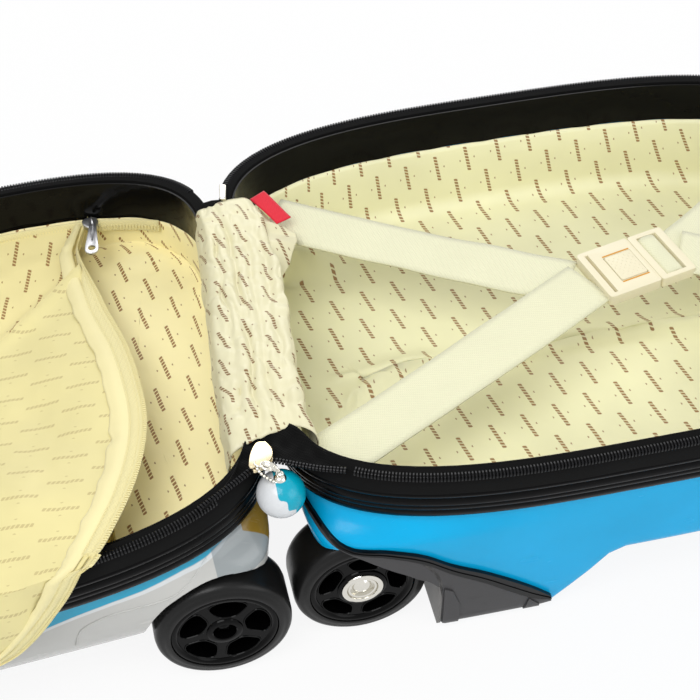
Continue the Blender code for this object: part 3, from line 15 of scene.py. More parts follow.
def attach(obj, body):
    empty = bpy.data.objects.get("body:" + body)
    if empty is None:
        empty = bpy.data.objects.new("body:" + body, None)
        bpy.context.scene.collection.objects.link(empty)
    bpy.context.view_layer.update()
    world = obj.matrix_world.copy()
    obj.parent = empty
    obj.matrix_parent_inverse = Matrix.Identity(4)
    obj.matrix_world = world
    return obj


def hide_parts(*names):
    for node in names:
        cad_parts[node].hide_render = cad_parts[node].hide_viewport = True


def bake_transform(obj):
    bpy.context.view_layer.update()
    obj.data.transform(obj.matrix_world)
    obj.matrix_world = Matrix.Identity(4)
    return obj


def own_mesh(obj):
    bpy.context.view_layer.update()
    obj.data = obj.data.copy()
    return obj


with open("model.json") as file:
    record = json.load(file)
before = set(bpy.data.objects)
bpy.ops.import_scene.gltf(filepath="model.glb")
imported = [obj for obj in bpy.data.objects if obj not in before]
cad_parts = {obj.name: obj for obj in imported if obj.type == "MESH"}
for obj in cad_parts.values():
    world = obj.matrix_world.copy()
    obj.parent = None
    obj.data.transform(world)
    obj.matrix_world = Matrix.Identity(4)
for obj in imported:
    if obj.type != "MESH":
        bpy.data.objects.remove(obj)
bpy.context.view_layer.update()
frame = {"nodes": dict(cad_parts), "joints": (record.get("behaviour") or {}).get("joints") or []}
NODES = frame["nodes"]
JOINTS = {joint["name"]: joint for joint in frame["joints"]}

MM = 0.001

# The same named sizes as the model's source
CASE_WIDTH = 310 * MM
CASE_LENGTH = 392 * MM
WIDEST_AT = 189 * MM
END_FLAT = 118 * MM
CORNER_POWER = 3.06
HINGE_EDGE = 0.6 * MM
ARCH_POWER = 6.0
ARCH_START = 38 * MM
ARCH_FULL = 56 * MM
WALL = 2.5 * MM
FRONT_DEPTH = 100 * MM
FRONT_EDGE_RADIUS = 35 * MM
BACK_DEPTH = 98 * MM
BACK_EDGE_RADIUS = 9 * MM
BULGE_END = 152 * MM
BULGE_RAMP = 30 * MM
SIDE_DRAFT = 0.045
HINGE_DRAFT = 0.21
FAR_DRAFT = 0.08
FRAME_TOP = 14.5 * MM
FRAME_BOTTOM = 37.5 * MM
FRAME_OUTER = 1.2 * MM
FRAME_SLOPE = 0.174
FRAME_LIP = 1.8 * MM
FRAME_CAP = 3.3 * MM
FRAME_INNER_LIP = 13.5 * MM
BAND_TOP = 1.5 * MM
BAND_BOTTOM = 27.5 * MM
BAND_INSET = 8.8 * MM
BAND_THICK = 1.4 * MM
BAND_SLOPE = 0.07
LINING_TOP = 27.8 * MM
LINING_THICK = 1.2 * MM
LINING_SEAT = 5.1 * MM
BACK_LINING_DEPTH = 76 * MM
FRONT_LINING_DEPTH = 92 * MM
BACK_LINING_RADIUS = 10 * MM
SEAT_GAP = 0.3 * MM
WHEEL_RADIUS = 38 * MM
WHEEL_WIDTH = 32 * MM
WHEEL_X = 39.5 * MM
WHEEL_DROP = 99 * MM
HUB_RADIUS = 29.5 * MM
BACK_WHEEL_FACE = 135 * MM
FRONT_WHEEL_FACE = 146.5 * MM
WELL_CLEAR = 5 * MM
WELL_SIDE_CLEAR = 4 * MM
AXLE_RADIUS = 4 * MM
BEARING_RADIUS = 11.8 * MM
FENDER_BOTTOM = 131 * MM
FENDER_TIP = 147 * MM
POD_RADIUS = 24 * MM
POD_LENGTH = 33 * MM
DRIVE_BAY_END = 98 * MM
DRIVE_BAY_DEPTH = 50 * MM
TUBE_DROP = 86 * MM
BEZEL_WIDTH = 148 * MM
BEZEL_HEIGHT = 26 * MM
BELT_WIDTH = 35 * MM
STRAP_THICK = 1.4 * MM
STRAP_DROP = 15 * MM
BUCKLE_AT = (234 * MM, -6 * MM)
BUCKLE_TURN = math.radians(13)
BUCKLE_LENGTH = 58 * MM
BUCKLE_WIDTH = 40 * MM
BUCKLE_THICK = 9 * MM
HINGE_STRAP_ANCHORS = ((32 * MM, -104.5 * MM), (35 * MM, 91 * MM))
TOP_STRAP_ANCHORS = ((356 * MM, -44 * MM), (352 * MM, 62 * MM))
GUSSET_NEAR = -93 * MM
GUSSET_FAR = 88 * MM
CHARM_RADIUS = 12.9 * MM
CHARM_DROP = 15 * MM
CHARM_AT = (-1.4 * MM, -126.7 * MM)

# Sizes that only the looks have
CAMERA_TURN = (-0.211, 0.796, -0.017)
CAMERA_FROM_HINGE = (-0.0827, -0.6827, 0.6630)
CAMERA_LENS = 87.18
CAMERA_SENSOR = 36.0
ON_AXIS = 0.0001
THIN_CLOTH = 0.6 * MM
TAPE_CLOTH = 0.7 * MM
EDGE_CLOTH = 0.8 * MM
BELT_CLOTH = 1.3 * MM
ZIP_TEETH = 690
ZIP_TOOTH_HALF = 0.52 * MM
HINGE_TOOTH_HALF = 0.55 * MM
HINGE_TOOTH_PITCH = 1.75 * MM
EDGE_TOOTH_HALF = 0.5 * MM
EDGE_TOOTH_PITCH = 1.7 * MM
WALL_TOOTH_PITCH = 1.9 * MM
POCKETS = 5
POCKET_START = 0.13
HUB_WIDTH = 16 * MM
PAD_LENGTH = 9.2 * MM
BUCKLE_SPLIT = 6 * MM
PENDANT_WAVES = 560
FOLD_SLOPE = 0.875
FOLD_START = 0.1721
BACK_RIDGE = ((0.044, 0.094, 0.182, 0.246, 0.3), (-0.024, -0.002, 0.0015, -0.001, -0.009))
BACK_LOOP = ((0.05, 0.094, 0.125), (-0.004, 0.0, 0.012))

# Free lines read in the frames of the two halves, in millimetres
FLAP_EDGE = ((-78.1, 127.5, -30.0), (-84.5, 112.0, -31.0), (-87.4, 99.5, -31.0), (-82.2, 52.2, -27.0))
FLAP_EDGE += ((-72.1, 2.1, -20.0), (-67.9, -50.2, -10.0), (-71.1, -83.1, -4.0), (-81.9, -117.7, 1.2))
FLAP_EDGE += ((-97.2, -144.0, 3.4), (-108.0, -157.0, 4.2))
FLAP_END = 338.0
FLAP_HANG = ((113.0, 4.0), (121.0, -8.0), (129.4, -18.6), (147.1, -37.6), (163.1, -48.9), (186.0, -55.0))
FLAP_BACK = ((286.0, 2.0), (280.0, -8.0), (268.0, -20.0), (250.0, -36.0), (228.0, -48.0), (206.0, -55.0))
COIL_LINE = (
    (-44.8, -136.4), (-36.2, -131.9), (-27.7, -127.2), (-20.1, -122.9), (-14.2, -119.3), (-9.0, -117.6)
)
COIL_LINE += ((-3.6, -117.2), (2.5, -119.8), (9.6, -123.5), (19.2, -127.9), (31.4, -132.3))
RIM_LINE = (
    (-42.0, -138.0), (-32.5, -129.0), (-24.0, -119.0), (-18.0, -107.0), (-13.0, -97.0), (-7.0, -93.0)
)
RIM_LINE += ((6.0, -93.0), (13.0, -97.5), (18.0, -107.0), (23.5, -118.0), (29.5, -129.0))
SLIDER_PLATE = ((-4.9, -107.4), (-2.8, -112.5), (-3.1, -117.2), (-5.9, -120.6), (-15.4, -123.0))
SLIDER_PLATE += ((-15.6, -118.6), (-13.4, -112.4), (-9.6, -107.2))
SHELL_GROOVE = ((-127.0, -72.4), (-123.5, -62.8), (-118.7, -57.4), (-106.1, -53.4), (-87.3, -53.4))
SHELL_GROOVE += ((-73.4, -53.2), (-62.5, -49.7), (-48.9, -42.4))
CLASP_BODY = (
    (-2.6, -125.6, 1.6), (-3.6, -124.6, 3.4), (-5.4, -123.4, 4.6), (-7.8, -122.2, 5.2), (-9.6, -121.0, 5.0)
)
CLASP_HOOK = (
    (-4.0, -124.6, 3.2), (-6.0, -125.9, 4.2), (-8.8, -125.2, 5.0), (-10.4, -122.8, 5.3), (-9.4, -120.6, 5.2)
)
CHARM_BEADS = (
    (-12.4, -124.0, 4.6), (-10.8, -126.6, 3.2), (-8.2, -128.2, 1.0), (-5.2, -128.8, -1.8),
    (-3.0, -128.4, -4.4),
)
DIVIDER_SLIDER = ((-74.6, 124.6), (-69.4, 124.6), (-67.8, 128.4), (-68.4, 133.0))
DIVIDER_SLIDER += ((-71.0, 134.0), (-75.0, 134.0), (-77.4, 132.0), (-77.2, 128.2))
DIVIDER_BOW = (
    (-71.2, 131.5, -32.6), (-71.3, 130.6, -30.6), (-71.4, 128.4, -29.8), (-71.4, 126.2, -30.6),
    (-71.5, 125.2, -32.6),
)

# The fender's seam from the hinge on: x, drop and height of the glossy strip, in millimetres
FENDER_SEAM = (
    (12, 43, 1.5), (19, 47, 2), (27, 52, 2.5), (36, 55, 3), (48, 56, 4), (61, 60, 5), (73, 66, 6)
)
FENDER_SEAM += ((88, 78, 7), (105, 89, 8.5), (122, 102, 10), (136, 114, 9), (147, 125, 3))
FENDER_FIN = ((68, -85), (62, -80), (52, -73), (40, -64), (28, -56.5), (19, -51), (12, -46.5))

# Ribs of the channel: share of its depth, and how far they lie in, in millimetres
CHANNEL_RIBS = (
    (0.0, 1.6), (0.02, 0.7), (0.05, 0.1), (0.11, 0.0), (0.18, 0.3), (0.22, 1.0), (0.25, 1.1), (0.28, 0.5)
)
CHANNEL_RIBS += (
    (0.45, 0.15), (0.5, 0.1), (0.53, 0.55), (0.56, 0.1), (0.68, 0.05), (0.71, 0.5), (0.74, 0.05)
)
CHANNEL_RIBS += ((0.86, 0.0), (0.95, 0.1), (0.985, 0.5))

# Sections of the zips, in millimetres: inset or reach, and depth, lift or drop
ZIP_TAPE = (
    (0.9, 1.6), (1.2, 0.6), (2.0, 0.35), (7.6, 0.35), (8.3, 1.2), (8.3, 2.2), (3.6, 2.6), (3.1, 6.0)
)
ZIP_TOOTH = (
    (0.3, 3.0), (0.05, 1.2), (0.4, 0.1), (1.8, -0.35), (3.9, -0.2), (4.6, 0.5), (4.2, 1.5), (1.2, 2.2)
)
HINGE_TOOTH = ((-2.4, -0.1), (-2.0, 0.9), (-0.6, 1.4), (1.0, 1.2), (1.6, 0.4), (1.2, -0.7), (-1.2, -1.0))
EDGE_TOOTH = ((3.6, 0.2), (3.6, 1.7), (4.9, 1.9), (5.9, 1.2), (5.6, 0.1), (4.6, -0.3))
WALL_TAPE = ((0.0, 0.0), (0.8, 1.0), (1.4, 3.0), (1.9, 5.0), (2.6, 6.6), (1.8, 7.4))
WALL_TOOTH = ((1.2, -3.2), (2.9, -3.0), (3.3, -4.4), (3.2, -5.8), (1.9, -6.2))

# Creases of the cloth over the hinge: x of each at seven places along the hinge, in millimetres
CREASE_LEVELS = (-100, -60, -30, 5, 35, 62, 85)
CREASES = ((-13, -10.5, -8.0, -6.9, -5.0, -4.6, -6.5), (-4.0, -3.0, -1.0, 1.5, 3.0, 4.0, 1.0))
CREASES += ((3.0, 4.0, 7.3, 9.9, 12.2, 11.6, 8.0), (11.0, 13.0, 15.5, 18.5, 19.5, 19.0, 16.0))

# Lower edge of the front shell's white area, as shares along 200 mm and of 100 mm
SWEEP = ((0.0, 0.84), (0.1, 0.72), (0.216, 0.581), (0.28, 0.523), (0.38, 0.473), (0.478, 0.45))
SWEEP += ((0.575, 0.441), (0.675, 0.424), (0.766, 0.415), (0.85, 0.36), (1.0, 0.2))

HINGE = Vector(JOINTS["case_hinge"]["pos_m"])
FRONT_SLOPE = 0.1078645
PLACE = {
    "back": Matrix.Translation(HINGE),
    "front": Matrix.Translation(HINGE) @ Matrix.Rotation(-FRONT_SLOPE, 4, "Y"),
    "world": Matrix.Identity(4),
}


def set_camera():
    """The camera that matches the photograph: 700 by 700, long side 36 mm on the sensor."""
    yaw, pitch, roll = CAMERA_TURN
    forward = Vector((-math.sin(yaw) * math.cos(pitch), math.cos(yaw) * math.cos(pitch), -math.sin(pitch)))
    right = Vector((math.cos(yaw), math.sin(yaw), 0.0))
    up = right.cross(forward)
    side = right * math.cos(roll) + up * math.sin(roll)
    top = up * math.cos(roll) - right * math.sin(roll)
    data = bpy.data.cameras.new("camera")
    data.sensor_width = CAMERA_SENSOR
    data.lens = CAMERA_LENS
    data.clip_start = 0.01
    camera = bpy.data.objects.new("camera", data)
    turn = Matrix((side, top, -forward)).transposed().to_4x4()
    camera.matrix_world = Matrix.Translation(HINGE + Vector(CAMERA_FROM_HINGE)) @ turn
    bpy.context.scene.collection.objects.link(camera)
    bpy.context.scene.camera = camera


class Graph:
    """The node tree of a material or of the room, with short calls for the nodes used here."""

    def __init__(self, owner, shader="Principled BSDF"):
        owner.use_nodes = True
        self.owner = owner
        self.tree = owner.node_tree
        self.shader = self.tree.nodes[shader]

    def fill(self, socket, value):
        """Links another node's output to a socket, or sets the socket to a plain value."""
        if isinstance(value, bpy.types.NodeSocket):
            self.tree.links.new(value, socket)
        else:
            socket.default_value = value

    def add(self, kind, inputs=None, **settings):
        """A new node, with its inputs by name or number and its settings."""
        node = self.tree.nodes.new("ShaderNode" + kind)
        for key, value in settings.items():
            setattr(node, key, value)
        for key, value in (inputs or {}).items():
            self.fill(node.inputs[key], value)
        return node

    def set(self, **values):
        """Fills the shader's own inputs, by their names in small letters."""
        for key, value in values.items():
            self.fill(self.shader.inputs[key.replace("_", " ").title().replace("Ior", "IOR")], value)

    def base(self):
        """The colour that the shader has so far."""
        return self.shader.inputs["Base Color"].links[0].from_socket

    def math(self, operation, *values):
        """One arithmetic step on numbers or other nodes' outputs."""
        return self.add("Math", dict(enumerate(values)), operation=operation).outputs[0]

    def plus(self, first, second):
        """The sum of two values."""
        return self.math("ADD", first, second)

    def minus(self, first, second):
        """The difference of two values."""
        return self.math("SUBTRACT", first, second)

    def times(self, first, second):
        """The product of two values."""
        return self.math("MULTIPLY", first, second)

    def between(self, value, low, high, start, end):
        """A straight step from start at low to end at high."""
        return self.add("MapRange", {0: value, 1: low, 2: high, 3: start, 4: end}).outputs[0]

    def spread(self, noise, start=0.0, end=1.0):
        """The middle part of a noise, stretched from start to end."""
        return self.between(noise, 0.3, 0.7, start, end)

    def noise(self, vector, scale, detail=2.0):
        """Soft noise from 0 to 1."""
        return self.add("TexNoise", {"Vector": vector, "Scale": scale, "Detail": detail}).outputs["Fac"]

    def mix(self, factor, first, second):
        """A colour between two."""
        return self.add("Mix", {0: factor, 6: first, 7: second}, data_type="RGBA").outputs[2]

    def bump(self, height, strength, distance, normal=None):
        """A normal from a height, over an earlier normal if there is one."""
        inputs = {"Height": height, "Strength": strength, "Distance": distance}
        if normal is not None:
            inputs["Normal"] = normal
        return self.add("Bump", inputs).outputs["Normal"]

    def place(self):
        """The place in the object's own coordinates."""
        return self.add("TexCoord").outputs["Object"]

    def stretch(self, vector, scale):
        """Coordinates scaled unevenly, for streaks."""
        return self.add("Mapping", {0: vector, 3: scale}).outputs[0]

    def flat(self):
        """The flat coordinates of a sheet, in metres."""
        return self.add("UVMap", uv_map="cloth").outputs[0]

    def split(self, vector):
        """The three parts of a vector."""
        return self.add("SeparateXYZ", {0: vector}).outputs

    def seen(self):
        """1 for what the camera sees, straight, in a mirror or through glass, and 0 for light."""
        path = self.add("LightPath").outputs
        seen = self.math("MAXIMUM", path["Is Camera Ray"], path["Is Glossy Ray"])
        return self.math("MAXIMUM", seen, path["Is Transmission Ray"])


def new_finish(name):
    """The graph of a new material."""
    return Graph(bpy.data.materials.new(name))


def shade(color, factor):
    """The colour made lighter or darker, with full cover."""
    return (*[min(1.0, channel * factor) for channel in color], 1.0)


def plastic(name, color, roughness, coat=0.0, grain=1400.0, relief=0.06, variation=0.06, gleam=0.5):
    """Moulded plastic: faint mottling, uneven gloss, fine grain and light scratches."""
    graph = new_finish(name)
    place = graph.place()
    broad = graph.noise(place, 18.0, 4.0)
    scratch = graph.noise(graph.stretch(place, (40, 900, 160)), 1.0)
    worn = graph.between(scratch, 0.62, 0.72, 0.0, 1.0)
    base = graph.mix(graph.spread(broad), shade(color, 1 - variation), shade(color, 1 + variation))
    gloss = graph.spread(broad, roughness * 0.85, roughness * 1.15)
    graph.set(base_color=base, roughness=graph.math("MULTIPLY_ADD", worn, 0.12, gloss))
    graph.set(coat_weight=coat, coat_roughness=0.08, specular_ior_level=gleam)
    graph.set(normal=graph.bump(graph.noise(place, grain), relief, 0.2 * MM))
    return graph


def metal(name, color, roughness, brushed=0.05):
    """Metal with smudges and, across x, the fine streaks of brushing."""
    graph = new_finish(name)
    place = graph.place()
    streaks = graph.noise(graph.stretch(place, (60, 1200, 1200)), 1.0, 3.0)
    smudge = graph.noise(place, 90.0, 3.0)
    graph.set(base_color=graph.mix(smudge, shade(color, 0.9), shade(color, 1.06)), metallic=1.0)
    graph.set(roughness=graph.spread(smudge, roughness * 0.7, roughness * 1.4))
    graph.set(normal=graph.bump(streaks, brushed, 0.1 * MM))
    return graph


def printed_marks(graph, angle, size=1.0):
    """Staggered groups of short parallel ticks with a dot between them, as a mask from 0 to 1."""
    cell = (10.5 * MM * size, 45.0 * MM * size)
    dash = (1.0 * MM * size, 9.6 * MM * size)
    blur = 0.3 * MM
    pitch = 2.5 * MM * size
    turned = graph.add("Mapping", {0: graph.flat(), 2: (0.0, 0.0, angle)}).outputs[0]
    across, along, _ = graph.split(turned)
    column = graph.math("DIVIDE", across, cell[0])
    offset = graph.times(graph.math("FLOOR", column), 0.5)
    row_part = graph.math("FRACT", graph.plus(graph.math("DIVIDE", along, cell[1]), offset))
    x = graph.times(graph.minus(graph.math("FRACT", column), 0.5), cell[0])
    y = graph.times(graph.minus(row_part, 0.5), cell[1])
    from_column = graph.math("ABSOLUTE", x)
    from_row = graph.math("ABSOLUTE", y)
    wide = graph.between(from_column, dash[0], dash[0] + blur, 1.0, 0.0)
    tall = graph.between(from_row, dash[1], dash[1] + blur, 1.0, 0.0)
    slanted = graph.math("MULTIPLY_ADD", x, 0.55, y)
    strokes = graph.math("FRACT", graph.math("DIVIDE", slanted, pitch))
    broken = graph.between(graph.math("ABSOLUTE", graph.minus(strokes, 0.5)), 0.30, 0.38, 1.0, 0.12)
    bar = graph.times(graph.times(wide, tall), broken)
    beside = graph.minus(cell[0] / 2, from_column)
    squares = graph.plus(graph.math("POWER", from_row, 2.0), graph.math("POWER", beside, 2.0))
    dot = graph.between(graph.math("SQRT", squares), 0.65 * MM, 1.05 * MM, 1.0, 0.0)
    return graph.math("MAXIMUM", bar, graph.times(dot, 0.85))


def weave_height(graph, scale):
    """Threads over and under each other, from the cloth's own coordinates."""
    across, along, _ = graph.split(graph.flat())
    return graph.times(*[graph.math("SINE", graph.times(value, scale)) for value in (across, along)])


def cloth(name, color, mark=None, strength=1.0, angle=0.3, size=1.0, roughness=0.55, sheen=0.25):
    """Thin satin lining with a weave, soft mottling and, where asked, printed marks."""
    graph = new_finish(name)
    place = graph.place()
    broad = graph.noise(place, 22.0, 3.0)
    base = graph.mix(graph.spread(broad), shade(color, 0.95), shade(color, 1.03))
    if mark is not None:
        mask = graph.times(printed_marks(graph, angle, size), strength)
        base = graph.mix(mask, base, (*mark, 1.0))
    puckers = graph.bump(graph.noise(place, 110.0, 3.0), 0.16, 1.2 * MM)
    normal = graph.bump(weave_height(graph, 7000.0), 0.1, 0.15 * MM, puckers)
    graph.set(base_color=base, roughness=graph.spread(broad, roughness * 0.9, roughness * 1.1))
    graph.set(sheen_weight=sheen, sheen_roughness=0.4, normal=normal)
    return graph


def front_place(graph):
    """x, y and z in the front half, as it is before it is turned down about the hinge."""
    start = Matrix.Rotation(FRONT_SLOPE, 3, "Y") @ -HINGE
    turned = graph.add("Mapping", {0: graph.place(), 1: tuple(start), 2: (0.0, FRONT_SLOPE, 0.0)})
    return graph.split(turned.outputs[0])


def flap_finish():
    """The divider's cloth: its pale reverse side, and beyond the fold its printed side."""
    # Both sides' colours here are darker than the same cloth in the front lining, to offset the strong
    # light on the flap: painted shade.
    graph = cloth("flap_finish", (0.74, 0.66, 0.31), (0.40, 0.30, 0.12), 0.55, 1.75)
    x, y, _ = front_place(graph)
    line = graph.minus(y, graph.math("MULTIPLY_ADD", x, FOLD_SLOPE, FOLD_START))
    printed = graph.between(line, -0.4 * MM, 0.4 * MM, 0.0, 1.0)
    marks = graph.times(printed_marks(graph, 0.25), 0.92)
    front = graph.mix(marks, (0.82, 0.72, 0.34, 1.0), (0.27, 0.12, 0.02, 1.0))
    graph.set(base_color=graph.mix(printed, graph.base(), front))
    return graph


def webbing(name, color, gloss=0.4):
    """Woven belt: cross ribs and a twill. The belt's length runs along x of its map."""
    graph = new_finish(name)
    along, across, _ = graph.split(graph.flat())
    ribs = graph.math("SINE", graph.times(along, 4200.0))
    yarns = graph.math("SINE", graph.times(across, 3600.0))
    twill = graph.math("SINE", graph.times(graph.plus(across, along), 2600.0))
    height = graph.plus(graph.times(ribs, yarns), graph.times(twill, 0.5))
    broad = graph.noise(graph.place(), 40.0, 3.0)
    # Painted shade: the weave's low parts are coloured darker than its high parts.
    base = graph.mix(graph.between(height, -1.2, 1.2, 0.0, 1.0), shade(color, 0.93), shade(color, 1.02))
    base = graph.mix(graph.between(broad, 0.35, 0.65, 0.0, 0.25), base, shade(color, 0.9))
    graph.set(base_color=base, roughness=0.8, sheen_weight=0.5 * gloss, specular_ior_level=gloss)
    graph.set(normal=graph.bump(height, 0.35, 0.3 * MM))
    return graph


def front_shell_finish():
    """Off-white shell, greyed further as painted shade, with a blue sweep under the channel, an ochre strip
    at the hinge end and painted shade on its upper corner by the hinge.
    """
    # The base colour is greyer than the white shell is: partly its own off-white, partly painted shade on
    # its sides.
    graph = plastic("front_shell_finish", (0.50, 0.50, 0.48), 0.2, coat=0.2, gleam=0.3)
    x, y, z = front_place(graph)
    sweep = graph.add("FloatCurve", {0: 1.0, 1: graph.between(x, -0.2, 0.0, 0.0, 1.0)})
    curve = sweep.mapping.curves[0]
    curve.points[0].location = SWEEP[0]
    curve.points[1].location = SWEEP[-1]
    for point in SWEEP[1:-1]:
        curve.points.new(*point)
    sweep.mapping.update()
    height = graph.minus(z, graph.times(sweep.outputs[0], -0.1))
    above = graph.between(height, -0.0003, 0.0003, 0.0, 1.0)
    rim = graph.between(graph.math("ABSOLUTE", graph.minus(height, -0.0012)), 0.0008, 0.0012, 1.0, 0.0)
    middle = graph.between(graph.math("ABSOLUTE", y), 0.1215, 0.122, 1.0, 0.0)
    end = graph.times(graph.between(x, -0.0275, -0.027, 0.0, 1.0), middle)
    base = graph.mix(graph.times(rim, 0.5), graph.base(), (0.74, 0.80, 0.84, 1.0))
    base = graph.mix(above, base, (0.02, 0.32, 0.50, 1.0))
    # Painted shade: the upper part of the shell within 46 mm of the hinge is darkened towards blue-grey.
    raised = graph.between(z, -0.058, -0.0575, 0.0, 1.0)
    corner = graph.times(graph.between(x, -0.046, -0.0455, 0.0, 1.0), raised)
    base = graph.mix(graph.times(corner, 0.55), base, (0.10, 0.15, 0.18, 1.0))
    graph.set(base_color=graph.mix(end, base, (0.24, 0.15, 0.02, 1.0)))
    return graph


def pendant_finish():
    """Two plain colours that meet in a wavy line."""
    graph = plastic("pendant_finish", (0.0, 0.36, 0.50), 0.3, coat=0.1, relief=0.1, gleam=0.3)
    x, _, z = graph.split(graph.place())
    line = graph.math("MULTIPLY_ADD", z, 0.55, graph.times(x, 0.85))
    wave = graph.times(graph.math("SINE", graph.times(graph.minus(z, x), float(PENDANT_WAVES))), 1.1 * MM)
    level = 0.85 * (HINGE.x - 1.5 * MM) + 0.55 * (HINGE.z - CHARM_DROP) + 3.2 * MM
    mask = graph.between(graph.plus(line, wave), level - 0.2 * MM, level + 0.2 * MM, 1.0, 0.0)
    graph.set(base_color=graph.mix(mask, graph.base(), (0.66, 0.68, 0.70, 1.0)))
    return graph


def backdrop_finish():
    """White to the camera and in reflections, and it keeps part of the object's shadow."""
    graph = new_finish("backdrop_finish")
    graph.set(base_color=(0.85, 0.85, 0.85, 1.0), roughness=0.9)
    glow = graph.add("Emission", {0: (1, 1, 1, 1), 1: 1.0})
    share = graph.times(graph.seen(), 0.9)
    mixed = graph.add("MixShader", {0: share, 1: graph.shader.outputs[0], 2: glow.outputs[0]})
    graph.fill(graph.tree.nodes["Material Output"].inputs[0], mixed.outputs[0])
    return graph


def make_stage():
    """Pale floor, a soft white room and three large soft lamps."""
    scene = bpy.context.scene
    scene.view_settings.view_transform = "Standard"
    bpy.ops.mesh.primitive_plane_add(size=6.0, location=(0, 0, -0.0005))
    floor = bpy.context.object
    floor.name = "floor"
    floor.data.materials.append(backdrop_finish().owner)
    scene.world = bpy.data.worlds.new("room")
    room = Graph(scene.world, "Background")
    room.set(color=(1, 1, 1, 1), strength=room.between(room.seen(), 0.0, 1.0, 0.55, 1.0))
    for name, place, size, power in (
        ("key_lamp", (-0.5, -0.7, 1.5), 0.9, 15.0),
        ("fill_lamp", (1.3, -1.1, 0.9), 1.2, 9.0),
        ("back_lamp", (0.3, 1.4, 1.1), 1.0, 9.0),
    ):
        data = bpy.data.lights.new(name, "AREA")
        data.size = size
        data.energy = power
        lamp = bpy.data.objects.new(name, data)
        lamp.location = place
        lamp.rotation_euler = (Vector((0.05, 0, 0.05)) - Vector(place)).to_track_quat("-Z", "Y").to_euler()
        scene.collection.objects.link(lamp)


def smoothstep(value):
    """A soft step from 0 to 1."""
    value = np.clip(value, 0.0, 1.0)
    return value * value * (3 - 2 * value)


def full_turn(count):
    """Angles of equal steps round a circle."""
    return np.linspace(0, 2 * math.pi, count, endpoint=False)


def unit(vectors):
    """The vectors brought to length 1."""
    return vectors / np.linalg.norm(vectors, axis=-1, keepdims=True)


def interpolate(at, knots, values):
    """Each column of values at the places given, by straight steps between its knots."""
    return np.stack([np.interp(at, knots, column) for column in np.asarray(values, float).T], -1)


def length_along(path):
    """The length of a path up to each of its points."""
    return np.concatenate([[0], np.cumsum(np.linalg.norm(np.diff(path, axis=0), axis=1))])


def flat_map(first, second):
    """A grid of flat coordinates from the values along its rows and along its columns."""
    return np.stack(np.meshgrid(first, second, indexing="ij"), 2)


def corner_points(angles, reach, direction, power):
    """Points (u, y, normal u, normal y) of one rounded corner of the outline."""
    cosine = np.cos(np.radians(angles))
    sine = np.sin(np.radians(angles))
    scale = (cosine**power + sine**power) ** (-1 / power)
    along = scale * cosine
    across = scale * sine
    rise = (CASE_WIDTH - END_FLAT) / 2
    normal_u = direction * along ** (power - 1) / reach
    normal_y = across ** (power - 1) / rise
    length = np.hypot(normal_u, normal_y)
    u = WIDEST_AT + direction * along * reach
    return np.stack([u, END_FLAT / 2 + across * rise, normal_u / length, normal_y / length], 1)


def outline(power):
    """The closed outline: from the middle of the hinge edge along +y, round the far end and back."""
    flat = np.linspace(0, END_FLAT / 2, 8)[:-1]
    start = np.stack([0 * flat + HINGE_EDGE, flat, 0 * flat - 1, 0 * flat], 1)
    first = corner_points(np.linspace(0, 90, 31), WIDEST_AT - HINGE_EDGE, -1, power)
    second = corner_points(np.linspace(90, 0, 31)[1:], CASE_LENGTH - WIDEST_AT, 1, CORNER_POWER)
    flat = flat[::-1]
    end = np.stack([0 * flat + CASE_LENGTH, flat, 0 * flat + 1, 0 * flat], 1)
    side = np.concatenate([start, first, second, end])
    other = side[1:-1][::-1] * np.array([1, -1, 1, -1])
    return np.concatenate([side, other])


RIM = outline(CORNER_POWER)
ARCH_RIM = outline(ARCH_POWER)
RIM_SIDE = slice(7, 67)


def outline_at(depth):
    """The outline at a depth: it turns from the rim's rounder shape into the wheel arches' squarer one."""
    share = smoothstep((depth - ARCH_START) / (ARCH_FULL - ARCH_START))
    return RIM + (ARCH_RIM - RIM) * share


def resample(ring, count):
    """The closed ring at equal steps of its length."""
    closed = np.concatenate([ring, ring[:1]])
    length = length_along(closed[:, :2])
    at = np.linspace(0, length[-1], count + 1)[:-1]
    made = interpolate(at, length, closed)
    made[:, 2:4] /= np.hypot(made[:, 2], made[:, 3])[:, None]
    return made, at


def side_at(u):
    """Half the width of the rim at a distance u from the hinge."""
    u = np.asarray(u, float)
    reach = np.where(u < WIDEST_AT, WIDEST_AT - HINGE_EDGE, CASE_LENGTH - WIDEST_AT)
    share = np.minimum(1.0, np.abs(u - WIDEST_AT) / reach)
    rise = (CASE_WIDTH - END_FLAT) / 2
    return END_FLAT / 2 + rise * (1 - share**CORNER_POWER) ** (1 / CORNER_POWER)


def edge_at(y):
    """Distance of the rim's hinge edge from the hinge, at a distance y along it."""
    share = np.maximum(0.0, np.abs(y) - END_FLAT / 2) / ((CASE_WIDTH - END_FLAT) / 2)
    return WIDEST_AT - (WIDEST_AT - HINGE_EDGE) * (1 - share**CORNER_POWER) ** (1 / CORNER_POWER)


def in_half(direction, ring, inset, depth):
    """Ring points moved in and down, in the frame of the back (1) or front (-1) half."""
    x = direction * (ring[:, 0] - inset * ring[:, 2])
    return np.stack([x, ring[:, 1] - inset * ring[:, 3], 0 * x - depth], 1)


def wall_inset(depth, normal_u):
    """How far the shell's wall lies inside the rim at a depth, with its drafts."""
    depth = np.asarray(depth, float)
    seat = FRAME_LIP + 2 * SEAT_GAP + FRAME_OUTER
    top = seat + (np.minimum(depth, FRAME_BOTTOM) - FRAME_TOP) * FRAME_SLOPE
    facing = np.maximum(0.0, -normal_u) ** 2
    away = np.maximum(0.0, normal_u) ** 2
    draft = SIDE_DRAFT + (HINGE_DRAFT - SIDE_DRAFT) * facing + (FAR_DRAFT - SIDE_DRAFT) * away
    return top + np.maximum(0.0, depth - FRAME_BOTTOM) * draft


